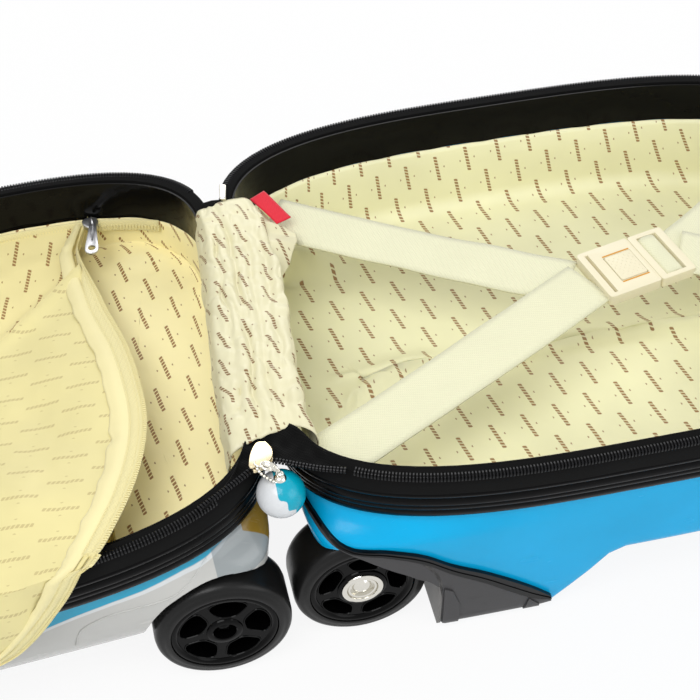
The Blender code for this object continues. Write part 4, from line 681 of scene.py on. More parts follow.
def back_depth_at(u):
    """Depth of the back shell: the bulge that holds the wheels, then a ramp to the flat part."""
    bulge = WHEEL_DROP + WHEEL_RADIUS
    share = np.clip((u - BULGE_END) / BULGE_RAMP, 0.0, 1.0)
    share = share + 0.035 * np.sin(2 * math.pi * share)
    return bulge + (BACK_DEPTH - bulge) * share


def front_depth_at(u):
    """Depth of the front shell, the same on its whole length."""
    return FRONT_DEPTH + 0 * u


def wheel_place(direction):
    """Distance from the hinge and drop of an axle, in the half's own frame."""
    if direction > 0:
        return (WHEEL_X, WHEEL_DROP)
    cosine = math.cos(FRONT_SLOPE)
    sine = math.sin(FRONT_SLOPE)
    return (WHEEL_X * cosine + WHEEL_DROP * sine, WHEEL_DROP * cosine - WHEEL_X * sine)


def ripple(x, y, size, seed):
    """Soft irregular waves of about one unit, of the given wavelength."""
    random = np.random.default_rng(seed)
    total = np.zeros(np.broadcast(x, y).shape)
    count = 7
    for _ in range(count):
        angle = random.uniform(0, 2 * math.pi)
        rate = 2 * math.pi / size * random.uniform(0.7, 1.5)
        total = total + np.sin(
            rate * (x * math.cos(angle) + y * math.sin(angle)) + random.uniform(0, 2 * math.pi)
        )
    return total / math.sqrt(count)


def piece(
    name, points, faces, finish, body, half="world", uv=None, stands_for=(), slot=None, sharp=40,
    closed=True,
):
    """A named object from points and faces, placed and riding on its body."""
    mesh = bpy.data.meshes.new(name)
    mesh.from_pydata([tuple(point) for point in points], [], [tuple(face) for face in faces])
    if uv is not None:
        layer = mesh.uv_layers.new(name="cloth")
        layer.data.foreach_set("uv", np.asarray(uv, np.float32).ravel())
    if closed:
        maker = bmesh.new()
        maker.from_mesh(mesh)
        bmesh.ops.recalc_face_normals(maker, faces=maker.faces)
        maker.to_mesh(mesh)
        maker.free()
    mesh.materials.append(finish)
    mesh.shade_smooth()
    mesh.set_sharp_from_angle(angle=math.radians(sharp))
    made = bpy.data.objects.new(name, mesh)
    bpy.context.scene.collection.objects.link(made)
    made.matrix_world = PLACE[half]
    if body is not None:
        settle(made, body, stands_for, slot)
    return made


def settle(made, body, stands_for=(), slot=None):
    """Puts the piece's own coordinates in the shared frame, gives it its body and hides the nodes that it
    stands for; its slot is not used.
    """
    made.data.transform(made.matrix_world)
    made.matrix_world = Matrix.Identity(4)
    if body is not None:
        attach(made, body)
    if stands_for:
        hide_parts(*stands_for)


def grid_faces(rows, columns, wrap_rows=False, wrap_columns=False, start=0):
    """Four-cornered faces between the points of a grid, closed round where asked."""
    faces = []
    for i in range(rows if wrap_rows else rows - 1):
        for j in range(columns if wrap_columns else columns - 1):
            here = start + i * columns
            below = start + (i + 1) % rows * columns
            after = (j + 1) % columns
            faces.append((here + j, here + after, below + after, below + j))
    return faces


def capped_faces(rows, columns, start=0):
    """Faces of a tube of rings, closed at both ends."""
    last = start + (rows - 1) * columns
    ends = [tuple(range(start, start + columns)), tuple(range(last, last + columns))]
    return grid_faces(rows, columns, False, True, start) + ends


def grid_uv(uv):
    """Loop coordinates of a grid from an array one larger than its faces each way."""
    parts = [uv[:-1, :-1], uv[:-1, 1:], uv[1:, 1:], uv[1:, :-1]]
    return np.stack(parts, 2).reshape(-1, 2)


def apply_modifiers(made):
    """Replaces the object's mesh by what its modifiers make of it."""
    bpy.context.view_layer.update()
    graph = bpy.context.evaluated_depsgraph_get()
    mesh = bpy.data.meshes.new_from_object(made.evaluated_get(graph), depsgraph=graph)
    made.modifiers.clear()
    made.data = mesh
    return made


def thicken(made, thickness):
    """Gives a sheet its thickness."""
    solid = made.modifiers.new("thickness", "SOLIDIFY")
    solid.thickness = thickness
    solid.offset = 0.0
    return apply_modifiers(made)


def grid_piece(name, grid, finish, body, half="world", uv=None, wrap=(False, False), thick=0.0, **more):
    """A piece from a grid of points. With a thickness it is a cloth or band with two sides."""
    faces = grid_faces(*grid.shape[:2], *wrap)
    loops = None if uv is None else grid_uv(uv)
    hold = {key: more.pop(key) for key in ("stands_for", "slot") if key in more}
    made = piece(name, grid.reshape(-1, 3), faces, finish, None, half, loops, closed=all(wrap), **more)
    if thick:
        thicken(made, thick)
    settle(made, body, **hold)
    return made


def ring_sweep(name, profile, direction, finish, body, count=300, shift=None, **more):
    """A closed profile of (inset, depth) swept round the rim, with uneven insets where asked."""
    ring, at = resample(RIM, count)
    rows = []
    for index, (inset, depth) in enumerate(profile):
        extra = 0.0 if shift is None else shift(at, index)
        rows.append(in_half(direction, ring, inset + extra, depth))
    grid = np.stack(rows)
    half = "back" if direction > 0 else "front"
    return grid_piece(name, grid, finish, body, half, wrap=(True, True), **more)


def cylinder_between(name, radius, start, end, half):
    """A closed cylinder used only to cut or add, and removed afterwards."""
    maker = bmesh.new()
    start = Vector(start)
    along = Vector(end) - start
    turn = along.to_track_quat("Z", "Y").to_matrix().to_4x4()
    place = Matrix.Translation(start + along / 2) @ turn
    size = {"radius1": radius, "radius2": radius, "depth": along.length}
    bmesh.ops.create_cone(maker, cap_ends=True, segments=64, matrix=place, **size)
    return tool_object(name, maker, half)


def tool_object(name, maker, half):
    """A hidden object from a mesh in the making."""
    bmesh.ops.recalc_face_normals(maker, faces=maker.faces)
    mesh = bpy.data.meshes.new(name)
    maker.to_mesh(mesh)
    maker.free()
    made = bpy.data.objects.new(name, mesh)
    made.hide_render = True
    bpy.context.scene.collection.objects.link(made)
    made.matrix_world = PLACE[half]
    return made


def prism(name, points, start, end, half, axis="y"):
    """A hidden prism of a flat outline, from one level to another along y or z."""
    maker = bmesh.new()
    rings = []
    for level in (start, end):
        if axis == "y":
            rings.append([maker.verts.new((a, level, b)) for a, b in points])
        else:
            rings.append([maker.verts.new((a, b, level)) for a, b in points])
    count = len(points)
    for index in range(count):
        after = (index + 1) % count
        maker.faces.new((rings[0][index], rings[0][after], rings[1][after], rings[1][index]))
    maker.faces.new(rings[0])
    maker.faces.new(rings[1])
    return tool_object(name, maker, half)


def plate(name, points, low, high):
    """A prism along z in the back half's frame, from an outline and two levels in millimetres."""
    return prism(name, np.asarray(points) * MM, low * MM, high * MM, "back", "z")


def boolean(target, tools, operation="DIFFERENCE", solver="MANIFOLD"):
    """Cuts a solid with tools, or joins them to it, and removes the tools."""
    for tool in tools:
        modifier = target.modifiers.new("cut", "BOOLEAN")
        modifier.operation = operation
        modifier.solver = solver
        modifier.object = tool
    apply_modifiers(target)
    for tool in tools:
        bpy.data.objects.remove(tool, do_unlink=True)
    return target


def finish_solid(target, sharp=35):
    """Smooth shading between edges that turn less than the angle."""
    target.data.shade_smooth()
    target.data.set_sharp_from_angle(angle=math.radians(sharp))
    return target


def soften(target, width):
    """Rounds the edges, as a moulding has them."""
    bevel = target.modifiers.new("soft_edges", "BEVEL")
    bevel.width = width
    bevel.segments = 3
    bevel.limit_method = "ANGLE"
    bevel.angle_limit = math.radians(30)
    bevel.use_clamp_overlap = True
    apply_modifiers(target)
    return finish_solid(target)


def show_solid(made, finish, body, stands_for, slot, soft=None, sharp=35):
    """Makes a hidden solid a visible piece, with its edges rounded where a width is given."""
    made.hide_render = False
    made.data.materials.clear()
    made.data.materials.append(finish)
    if soft is None:
        finish_solid(made, sharp)
    else:
        soften(made, soft)
    settle(made, body, stands_for, slot)
    return made


def shell_rows(direction, depth_at, radius, offset, top):
    """Rings of a half's wall, moved in by offset, from the depth top to its flat bottom."""
    rows = []
    upper = [top, FRAME_BOTTOM] + list(np.linspace(ARCH_START, ARCH_FULL, 8)[1:])
    for depth in upper:
        ring = outline_at(depth)
        rows.append(in_half(direction, ring, wall_inset(depth, ring[:, 2]) + offset, depth))
    depth_of = depth_at(ARCH_RIM[:, 0])
    for share in np.linspace(0, 1, 6)[1:-1]:
        depth = ARCH_FULL + (depth_of - radius - ARCH_FULL) * share
        rows.append(in_half(direction, ARCH_RIM, wall_inset(depth, ARCH_RIM[:, 2]) + offset, depth))
    for turn in np.linspace(0, math.pi / 2, 8):
        depth = depth_of - radius + (radius - offset) * math.sin(turn)
        inset = wall_inset(depth_of - radius, ARCH_RIM[:, 2]) + radius - (radius - offset) * math.cos(turn)
        rows.append(in_half(direction, ARCH_RIM, inset, depth))
    return rows


def loft_mesh(name, rows, half):
    """A closed solid from rings that are mirror images in y, closed by strips across."""
    maker = bmesh.new()
    rings = [[maker.verts.new(point) for point in row] for row in rows]
    count = len(rings[0])
    for upper, lower in zip(rings, rings[1:]):
        for index in range(count):
            after = (index + 1) % count
            maker.faces.new((upper[index], upper[after], lower[after], lower[index]))
    for ring in (rings[0], rings[-1]):
        for index in range(count // 2):
            corners = [
                ring[index], ring[index + 1], ring[(count - index - 1) % count],
                ring[(count - index) % count],
            ]
            unique = []
            for corner in corners:
                if corner not in unique:
                    unique.append(corner)
            if len(unique) > 2:
                maker.faces.new(unique)
    bmesh.ops.triangulate(maker, faces=maker.faces)
    return tool_object(name, maker, half)


def well_tool(name, direction, side, face, extra, half):
    """The cutter of a wheel arch: round above the axle, straight below it."""
    u, drop = wheel_place(direction)
    radius = WHEEL_RADIUS + WELL_CLEAR + extra
    points = []
    for angle in np.linspace(0, math.pi, 40):
        points.append((direction * u + radius * math.cos(angle), radius * math.sin(angle) - drop))
    points.append((direction * u - radius, -drop - 2 * WHEEL_RADIUS))
    points.append((direction * u + radius, -drop - 2 * WHEEL_RADIUS))
    inner = side * (face - WHEEL_WIDTH - WELL_SIDE_CLEAR - extra)
    return prism(name, points, inner, side * (CASE_WIDTH / 2 + 10 * MM), half)


def make_shell(label, direction, depth_at, radius, face, finish, pods):
    """The moulded half with its wheel arches, and in front its two gear pods."""
    top = FRAME_TOP + FRAME_CAP
    shell = loft_mesh(f"{label}_shell_moulding", shell_rows(direction, depth_at, radius, 0.0, top), label)
    hollow = loft_mesh(
        f"{label}_hollow_tool", shell_rows(direction, depth_at, radius, WALL, top - 4 * MM), label
    )
    wheel_u, wheel_drop = wheel_place(direction)
    start = face - WHEEL_WIDTH - WELL_SIDE_CLEAR
    wells = []
    for side in (-1, 1):
        if pods:
            reaches = (start, start - POD_LENGTH, start - WALL, start - POD_LENGTH + WALL)
            ends = [(direction * wheel_u, side * reach, -wheel_drop) for reach in reaches]
            boolean(shell, [cylinder_between("pod_tool", POD_RADIUS, ends[0], ends[1], label)], "UNION")
            room = cylinder_between("pod_room_tool", POD_RADIUS - WALL, ends[2], ends[3], label)
            boolean(hollow, [room], "UNION")
        boolean(hollow, [well_tool("well_wall_tool", direction, side, face, WALL, label)])
        wells.append(well_tool("well_tool", direction, side, face, 0.0, label))
    if not pods:
        wells.append(bezel_window(label))
    boolean(shell, [hollow] + wells)
    slot = "blue_shell" if label == "back" else "white_shell"
    show_solid(shell, finish, f"{label}_half", [f"{label}_shell"], slot, sharp=34)


def bezel_window(half):
    """The cutter of the opening for the telescopic handle's bezel."""
    low = -TUBE_DROP - 9.8 * MM - SEAT_GAP
    high = low + BEZEL_HEIGHT + 2 * SEAT_GAP
    wall_end = CASE_LENGTH - float(wall_inset(TUBE_DROP, 1.0)) - WALL - 0.7 * MM
    out = CASE_LENGTH + 10 * MM
    edge = BEZEL_WIDTH / 2 + SEAT_GAP
    corners = [(wall_end, -edge), (out, -edge), (out, edge), (wall_end, edge)]
    return prism("bezel_window_tool", corners, low, high, half, "z")


def make_channel(label, direction, finish):
    """The black channel round the shell's edge, with its fine ribs and rounded lip."""
    profile = []
    for share, inset in CHANNEL_RIBS:
        depth = FRAME_TOP + (FRAME_BOTTOM - FRAME_TOP) * share
        profile.append((FRAME_OUTER + (depth - FRAME_TOP) * FRAME_SLOPE + inset * MM, depth))
    shell_top = FRAME_TOP + FRAME_CAP - SEAT_GAP
    shell_outer = float(wall_inset(shell_top, 0.0))
    shell_inner = shell_outer + WALL + SEAT_GAP
    lip_depth = FRAME_TOP + FRAME_INNER_LIP
    lip_face = float(wall_inset(lip_depth, 0.0)) + WALL + SEAT_GAP
    profile += [
        (float(wall_inset(FRAME_BOTTOM, 0.0)) - SEAT_GAP, FRAME_BOTTOM),
        (shell_outer - SEAT_GAP, shell_top), (shell_inner, shell_top), (lip_face, lip_depth),
        (lip_face + FRAME_LIP, lip_depth), (shell_inner + FRAME_LIP, FRAME_TOP),
    ]
    hold = {"stands_for": [f"{label}_frame"], "slot": "black_plastic"}
    ring_sweep(f"{label}_channel", profile, direction, finish, f"{label}_half", sharp=50, **hold)


def tooth_faces(start, size):
    """Faces of one closed tooth, between two rings of corners from start on."""
    faces = []
    for corner in range(size):
        after = (corner + 1) % size
        faces.append((start + corner, start + after, start + size + after, start + size + corner))
    return faces + [tuple(range(start, start + size)), tuple(range(start + size, start + 2 * size))]


def make_zip(label, direction, finish, teeth_finish):
    """The zip tape on the channel and the coil along its top edge."""
    foot = FRAME_TOP - SEAT_GAP
    profile = [(inset * MM, depth * MM) for inset, depth in ZIP_TAPE]
    profile += [(2.8 * MM, foot), (1.2 * MM, foot), (0.8 * MM, 8 * MM)]

    def slack(at, index):
        """How far the tape's inner edge strays from its section at a place along the rim."""
        return 0.25 * MM * ripple(at, 0 * at, 60 * MM, 5 + index % 2) if 5 < index < 11 else 0.0

    body = f"{label}_half"
    hold = {"stands_for": [f"{label}_zip_tape"], "slot": "black_tape"}
    ring_sweep(f"{label}_zip_cloth", profile, direction, finish, body, 420, slack, **hold)
    points = []
    faces = []
    for u, y, normal_u, normal_y in resample(RIM, ZIP_TEETH)[0]:
        if u < 36 * MM and y < 0 or u < 9 * MM:
            continue
        faces += tooth_faces(len(points), len(ZIP_TOOTH))
        for across in (-ZIP_TOOTH_HALF, ZIP_TOOTH_HALF):
            for inset, depth in ZIP_TOOTH:
                shrink = 0.75 if depth < 0.2 else 1.0
                base_u = u - inset * MM * normal_u - normal_y * across * shrink
                base_y = y - inset * MM * normal_y + normal_u * across * shrink
                points.append((direction * base_u, base_y, -depth * MM))
    half = "back" if direction > 0 else "front"
    piece(f"{label}_zip_coil", points, faces, teeth_finish, body, half, slot="black_tape", sharp=60)


def make_band(label, direction, finish):
    """The soft black band inside the rim, puckered along its lower edge."""
    drop = (BAND_BOTTOM - BAND_TOP) * BAND_SLOPE
    seed = 11 if direction > 0 else 12
    inner = []
    outer = []
    for share in np.linspace(0, 1, 10):
        depth = BAND_TOP + (BAND_BOTTOM - BAND_TOP) * share
        swell = (0.2 + 0.5 * math.sin(math.pi * share)) * MM + 0.6 * BAND_THICK
        inner.append((BAND_INSET + drop * share + swell, depth))
        outer.append((BAND_INSET + drop * share, depth))

    def pucker(at, index):
        """How far the band strays from its section, most along its lower edge."""
        level = min(index, 19 - index) / 9
        folds = ripple(at, 0 * at, 26 * MM, seed) * level**1.6
        broad = ripple(at, 0 * at, 90 * MM, seed + 5) * 0.5
        return np.clip(0.45 * MM * (folds + broad * level), -0.6 * MM, 0.9 * MM)

    hold = {"stands_for": [f"{label}_edge_band"], "slot": "black_plastic"}
    profile = inner + outer[::-1]
    ring_sweep(f"{label}_rim_band", profile, direction, finish, f"{label}_half", 420, pucker, **hold)


def lining_grid(direction, floor, radius, bay):
    """The lining's inner face as a grid of rings, with its flat coordinates."""
    opposite = len(RIM) // 2
    ring = np.concatenate([RIM[opposite:], RIM[: opposite + 1]])
    wall = floor - radius
    base = LINING_SEAT + 0.5 * LINING_THICK
    rows = []
    for depth in np.linspace(LINING_TOP, wall, 11):
        rows.append(in_half(direction, ring, wall_inset(depth, ring[:, 2]) + base, depth))
    for turn in np.linspace(0, math.pi / 2, 8)[1:]:
        inset = wall_inset(wall, ring[:, 2]) + base + radius * (1 - math.cos(turn))
        rows.append(in_half(direction, ring, inset, wall + radius * math.sin(turn)))
    edge = rows[-1]
    middle = edge.copy()
    middle[:, 0] = direction * np.clip(direction * edge[:, 0], 70 * MM, 320 * MM)
    middle[:, 1] = 0
    start = len(rows)
    for share in np.linspace(0, 1, 22)[1:]:
        rows.append(edge + (middle - edge) * share)
    grid = np.stack(rows)
    reach = np.zeros(grid.shape[:2])
    steps = np.linalg.norm(np.diff(grid, axis=0), axis=2)
    for index in range(start - 2, -1, -1):
        reach[index] = reach[index + 1] + steps[index]
    uv = grid[:, :, :2].copy()
    uv[:start] = edge[None, :, :2]
    uv[:, :, 0] += direction * ring[None, :, 2] * reach
    uv[:, :, 1] += ring[None, :, 3] * reach
    uv[:, :, 0] *= direction
    return raise_over_wells(grid, direction, bay), uv


def raise_over_wells(grid, direction, bay):
    """Lifts the lining over the wheel arches and, in front, over the drive."""
    u, drop = wheel_place(direction)
    face = BACK_WHEEL_FACE if direction > 0 else FRONT_WHEEL_FACE
    extra = WALL + 2.2 * MM + 0.5 * LINING_THICK
    radius = WHEEL_RADIUS + WELL_CLEAR + extra
    inner = face - WHEEL_WIDTH - WELL_SIDE_CLEAR - extra
    x = direction * grid[:, :, 0]
    away = np.minimum(1.0, np.abs(x - u) / radius)
    arch = -drop + radius * np.sqrt(1 - away**2)
    arch = np.where(np.abs(x - u) < radius, arch, -1.0)
    cover = smoothstep((np.abs(grid[:, :, 1]) - inner + 5 * MM) / (6 * MM))
    target = np.where(arch > grid[:, :, 2], grid[:, :, 2] + (arch - grid[:, :, 2]) * cover, grid[:, :, 2])
    if bay:
        level = -DRIVE_BAY_DEPTH + 0.5 * LINING_THICK
        cover = smoothstep((DRIVE_BAY_END + 3 * MM - x) / (7 * MM))
        target = np.where(level > target, target + (level - target) * cover, target)
    raised = grid.copy()
    raised[:, :, 2] = target
    return raised


def rumple(grid, seed, height, size):
    """Moves a grid along its own normals by soft waves, none at its first rows."""
    normal = np.cross(np.gradient(grid, axis=0), np.gradient(grid, axis=1))
    normal /= np.maximum(np.linalg.norm(normal, axis=2, keepdims=True), 1e-12)
    wave = ripple(grid[:, :, 0], grid[:, :, 1] + 0.7 * grid[:, :, 2], size, seed)
    wave += 0.45 * ripple(grid[:, :, 0] + 0.8 * grid[:, :, 2], grid[:, :, 1], size * 0.4, seed + 1)
    fade = smoothstep(np.arange(grid.shape[0]) / 4)[:, None]
    return grid + normal * (wave * height * fade)[:, :, None]


def back_folds(x, y):
    """Height of the ridge along the back lining's middle and of the low fold beside the straps."""
    ridge_line = np.interp(x, *BACK_RIDGE) + 1.2 * MM * ripple(x, 0 * x, 22 * MM, 4)
    away = y - ridge_line
    steep = np.where(away < 0, 2.6 * MM, 9 * MM)
    inside = smoothstep((x - 30 * MM) / (25 * MM)) * smoothstep((345 * MM - x) / (40 * MM))
    height = 6.5 + 1.5 * ripple(x, 0 * x, 50 * MM, 3) + 1.0 * ripple(x, 0 * x, 14 * MM, 6)
    ridge = np.exp(-((away / steep) ** 2)) * inside * height * MM
    loop = 2.6 * MM * np.exp(-(((y - np.interp(x, *BACK_LOOP) - 7 * MM) / (2.2 * MM)) ** 2))
    loop = loop * smoothstep((x - 45 * MM) / (12 * MM)) * smoothstep((125 * MM - x) / (25 * MM))
    return ridge + loop


def make_lining(label, direction, floor, radius, finish, slot):
    """The printed cloth in a half, with the folds and creases that it has there."""
    grid, uv = lining_grid(direction, floor, radius, direction < 0)
    x, y, z = (grid[:, :, axis] for axis in range(3))
    if direction > 0:
        grid[18:, :, 2] += back_folds(x, y)[18:]
        corner = smoothstep((70 * MM - x) / (50 * MM)) * smoothstep((y - 55 * MM) / (30 * MM))
    else:
        corner = smoothstep((x + 120 * MM) / (90 * MM))
    depth = 1.7 * MM if direction > 0 else 0.6 * MM
    creases = 1 - np.minimum(1, np.abs(ripple(x + 0.5 * z, y - 0.6 * z, 34 * MM, 23)) * 2.2)
    inward = np.array([direction * 1.0, 0.0, 0.6])
    fade = smoothstep(np.arange(grid.shape[0]) / 3)[:, None]
    grid = grid + inward * (depth * creases**2 * corner * fade)[:, :, None]
    grid = rumple(grid, 21 if direction > 0 else 31, 0.5 * MM, 55 * MM)
    hold = {"stands_for": [f"{label}_lining"], "slot": slot, "sharp": 70}
    name = f"{label}_lining_cloth"
    made = grid_piece(name, grid, finish, f"{label}_half", label, uv=uv, thick=TAPE_CLOTH, **hold)
    declare_sheet(grid, 0.3)


def revolve(name, profile, place, side, finish, body, steps=96, **more):
    """A closed profile of (radius, height) turned about the wheel axis, its height outwards."""
    angles = full_turn(steps)[:, None]
    radii, heights = np.asarray(profile).T
    x = place[0] + np.cos(angles) * radii
    y = place[1] + side * heights + 0 * angles
    z = place[2] + np.sin(angles) * radii
    return grid_piece(name, np.stack([x, y, z], 2), finish, body, wrap=(True, True), **more)


def window_outline(inner, outer):
    """A rounded pocket between two radii that points along +x, wider outside than inside."""
    points = []
    for angle in full_turn(48):
        along = math.copysign(abs(math.cos(angle)) ** 0.6, math.cos(angle))
        across = math.copysign(abs(math.sin(angle)) ** 0.75, math.sin(angle))
        radius = (inner + outer) / 2 + (outer - inner) / 2 * along
        turn = (0.49 + 0.05 * along) * across
        points.append((radius * math.cos(turn), radius * math.sin(turn)))
    return points


def rings_round(path, tangent, guide, radii, steps):
    """Rings of points round a path, square to its tangent."""
    out = unit(np.cross(tangent, guide))
    top = np.cross(out, tangent)
    angles = full_turn(steps)[None, :, None]
    return path[:, None] + radii * (np.cos(angles) * out[:, None] + np.sin(angles) * top[:, None])


def round_about(path):
    """The tangent of a closed path at each of its points."""
    return unit(np.roll(path, -1, 0) - np.roll(path, 1, 0))


def tyre_outline():
    """The tyre's section with its moulded shoulders, as radius and height."""
    half = WHEEL_WIDTH / 2
    seat = HUB_RADIUS + 0.3 * MM
    shoulder = ((5.2, 0.1), (4.6, 0.7), (3.4, 0.7), (1.6, 1.6), (0.5, 3.4), (0.0, 6.0))
    shoulder = [(WHEEL_RADIUS - inset * MM, half - drop * MM) for inset, drop in shoulder]
    tyre = [(seat, half), (seat + 0.8 * MM, half + 0.1 * MM)] + shoulder
    tyre += [(radius, -height) for radius, height in (*shoulder[:1:-1], shoulder[0])]
    return tyre + [(seat, -half)]


def hub_outline(recess, depth, boss, web, face):
    """The hub's section as radius and height: ring, back, bore, recess, boss, web and rim."""
    ring = HUB_RADIUS - 3.2 * MM
    bore = AXLE_RADIUS + 0.3 * MM
    hub = [(HUB_RADIUS, face - 0.3 * MM), (HUB_RADIUS, -face), (ring, -face), (ring, face - HUB_WIDTH)]
    hub += [(bore, face - HUB_WIDTH), (bore, face - depth), (recess - 0.8 * MM, face - depth)]
    hub += [(recess, face - depth + 0.8 * MM), (recess, face - 0.4 * MM), (recess + 0.5 * MM, face)]
    hub += [(boss - 0.8 * MM, face), (boss, face - 0.4 * MM), (boss + 0.4 * MM, web)]
    hub += [(ring - 0.6 * MM, web), (ring, face - 0.3 * MM), (ring + 0.7 * MM, face + 0.1 * MM)]
    return hub + [(HUB_RADIUS - 0.6 * MM, face + 0.1 * MM)]


def make_wheel(label, finish):
    """Tyre with moulded side rings, and a hub with five glossy pockets."""
    driven = label.startswith("front")
    side = -1 if "near" in label else 1
    axis = JOINTS[f"{label}_wheel_spin"]["pos_m"]
    body = f"{label}_wheel"
    hold = {"stands_for": [f"{label}_tyre"], "slot": "tyre_rubber", "sharp": 55}
    revolve(f"{label}_tyre_moulding", tyre_outline(), axis, side, finish["rubber"], body, 120, **hold)
    recess = 6.4 * MM if driven else BEARING_RADIUS - 1.4 * MM
    boss = recess + 3.4 * MM
    face = WHEEL_WIDTH / 2 - 0.4 * MM
    web = face - 1.2 * MM
    hub = hub_outline(recess, 9 * MM if driven else 7 * MM, boss, web, face)
    made = revolve(f"{label}_hub_moulding", hub, axis, side, finish["hub"], None)
    pockets = cut_pockets(made, axis, side, boss + (1.6 * MM if driven else 0.9 * MM), face)
    settle(made, body, [f"{label}_hub"], "black_plastic")
    make_pocket_rims(label, pockets, axis[1] + side * (web - 0.1 * MM), finish["hub"])
    if driven:
        cap = [(ON_AXIS, face - 3.0 * MM), (2.5 * MM, face - 3.3 * MM), (4.8 * MM, face - 4.4 * MM)]
        cap += [(6.1 * MM, face - 6 * MM), (6.1 * MM, face - 8 * MM), (ON_AXIS, face - 8 * MM)]
        hold = {"slot": "black_plastic", "sharp": 50}
        revolve(f"{label}_hub_cap", cap, axis, side, finish["hub"], body, 48, **hold)


def make_pocket_rims(label, pockets, level, finish):
    """The fine raised edge round each pocket of a hub."""
    points = []
    faces = []
    for x, z in pockets:
        loop = np.stack([x, 0 * x + level, z], 1)
        faces += grid_faces(len(loop), 6, True, True, len(points))
        rings = rings_round(loop, round_about(loop), (0.0, 1.0, 0.0), 0.55 * MM, 6)
        points += [tuple(point) for point in rings.reshape(-1, 3)]
    piece(f"{label}_pocket_rims", points, faces, finish, f"{label}_wheel", slot="black_plastic")


def cut_pockets(made, axis, side, inner, face):
    """Cuts the hub's pockets, and gives the outline of each as x and z."""
    outlines = []
    tools = []
    for index in range(POCKETS):
        turn = 2 * math.pi * (index + POCKET_START) / POCKETS
        x, z = np.array(window_outline(inner, HUB_RADIUS - 3.9 * MM)).T
        turned_x = axis[0] + x * math.cos(turn) - z * math.sin(turn)
        turned_z = axis[2] + x * math.sin(turn) + z * math.cos(turn)
        outlines.append((turned_x, turned_z))
        start = axis[1] + side * WHEEL_WIDTH
        end = axis[1] + side * (face - 14 * MM)
        tools.append(prism("window_tool", np.stack(outlines[-1], 1), start, end, "world"))
    boolean(made, tools)
    finish_solid(made)
    return outlines


def make_bearing(label, finish):
    """Polished bearing with a stepped face, and the domed end of the axle in it."""
    side = -1 if "near" in label else 1
    axis = JOINTS[f"{label}_wheel_spin"]["pos_m"]
    lip = WHEEL_WIDTH / 2 + 0.6 * MM
    seat = WHEEL_WIDTH / 2 - 0.1 * MM
    radius = BEARING_RADIUS
    steps = ((2.6, 0.6), (4.6, 1.7), (5.6, 3.0), (6.5, 3.0), (6.9, 1.0), (8.1, 0.9), (8.5, 1.6), (8.9, 0.3))
    profile = [(ON_AXIS, lip - 0.2 * MM)] + [(reach * MM, lip - drop * MM) for reach, drop in steps]
    profile += [(radius - 0.9 * MM, lip), (radius - 0.2 * MM, lip - 0.3 * MM), (radius, seat)]
    profile += [(radius - 1.8 * MM, seat), (radius - 1.8 * MM, lip - 4 * MM), (ON_AXIS, lip - 4 * MM)]
    hold = {"stands_for": [f"{label}_bearing"], "slot": "chrome", "sharp": 30}
    revolve(f"{label}_bearing_ring", profile, axis, side, finish["chrome"], f"{label}_wheel", 64, **hold)


def smooth_line(points, count):
    """A smooth curve through points, by cubic steps with equal parameters."""
    points = np.asarray(points, float)
    padded = np.concatenate([2 * points[:1] - points[1:2], points, 2 * points[-1:] - points[-2:-1]])
    made = []
    for at in np.linspace(0, len(points) - 1, count):
        index = min(int(at), len(points) - 2)
        t = at - index
        a, b, c, d = padded[index : index + 4]
        cubic = (3 * b - a - 3 * c + d) * t**3
        made.append(0.5 * (2 * b + (c - a) * t + (2 * a - 5 * b + 4 * c - d) * t**2 + cubic))
    return np.array(made)


def over_wall(made, thick, gap=None):
    """Keeps of a prism only what lies within thick of the back shell's side, and past the gap."""
    outer = shell_rows(1, back_depth_at, BACK_EDGE_RADIUS, -thick, FRAME_BOTTOM - 1 * MM)
    boolean(made, [loft_mesh("fender_tool", outer, "back")], "INTERSECT")
    if gap is not None:
        inner = shell_rows(1, back_depth_at, BACK_EDGE_RADIUS, -gap, FRAME_BOTTOM - 5 * MM)
        boolean(made, [loft_mesh("fender_room_tool", inner, "back")])


def fender_skin(lower, bottom):
    """The fender's outline: under its seam, down its tip, round the wheel arch and along the fin."""
    arch = WHEEL_X + WHEEL_RADIUS
    under = [(FENDER_TIP + 0.8 * MM, bottom + 3 * MM), (FENDER_TIP - 9 * MM, bottom)]
    under += [(arch + 8 * MM, bottom), (arch + 5.2 * MM, bottom + 2 * MM)]
    under += [(arch + 4.8 * MM, -WHEEL_DROP - 8 * MM), (arch + 3 * MM, -WHEEL_DROP + 3 * MM)]
    under += [(arch - 3 * MM, -WHEEL_DROP + 10 * MM)]
    return np.concatenate([lower - np.array([0, SEAT_GAP]), under, smooth_line(FENDER_FIN, 30) * MM])


def fender_wall(bottom):
    """The outline of the wheel arch's inner wall, thin and round the wheel."""
    rims = [WHEEL_RADIUS + WELL_CLEAR - inset * MM for inset in (0.2, 2.0)]
    turns = np.radians(np.linspace(78, -2, 30))
    arcs = [np.stack([WHEEL_X + rim * np.cos(turns), rim * np.sin(turns) - WHEEL_DROP], 1) for rim in rims]
    return np.concatenate([arcs[0], [(WHEEL_X + rim, bottom) for rim in rims], arcs[1][::-1]])


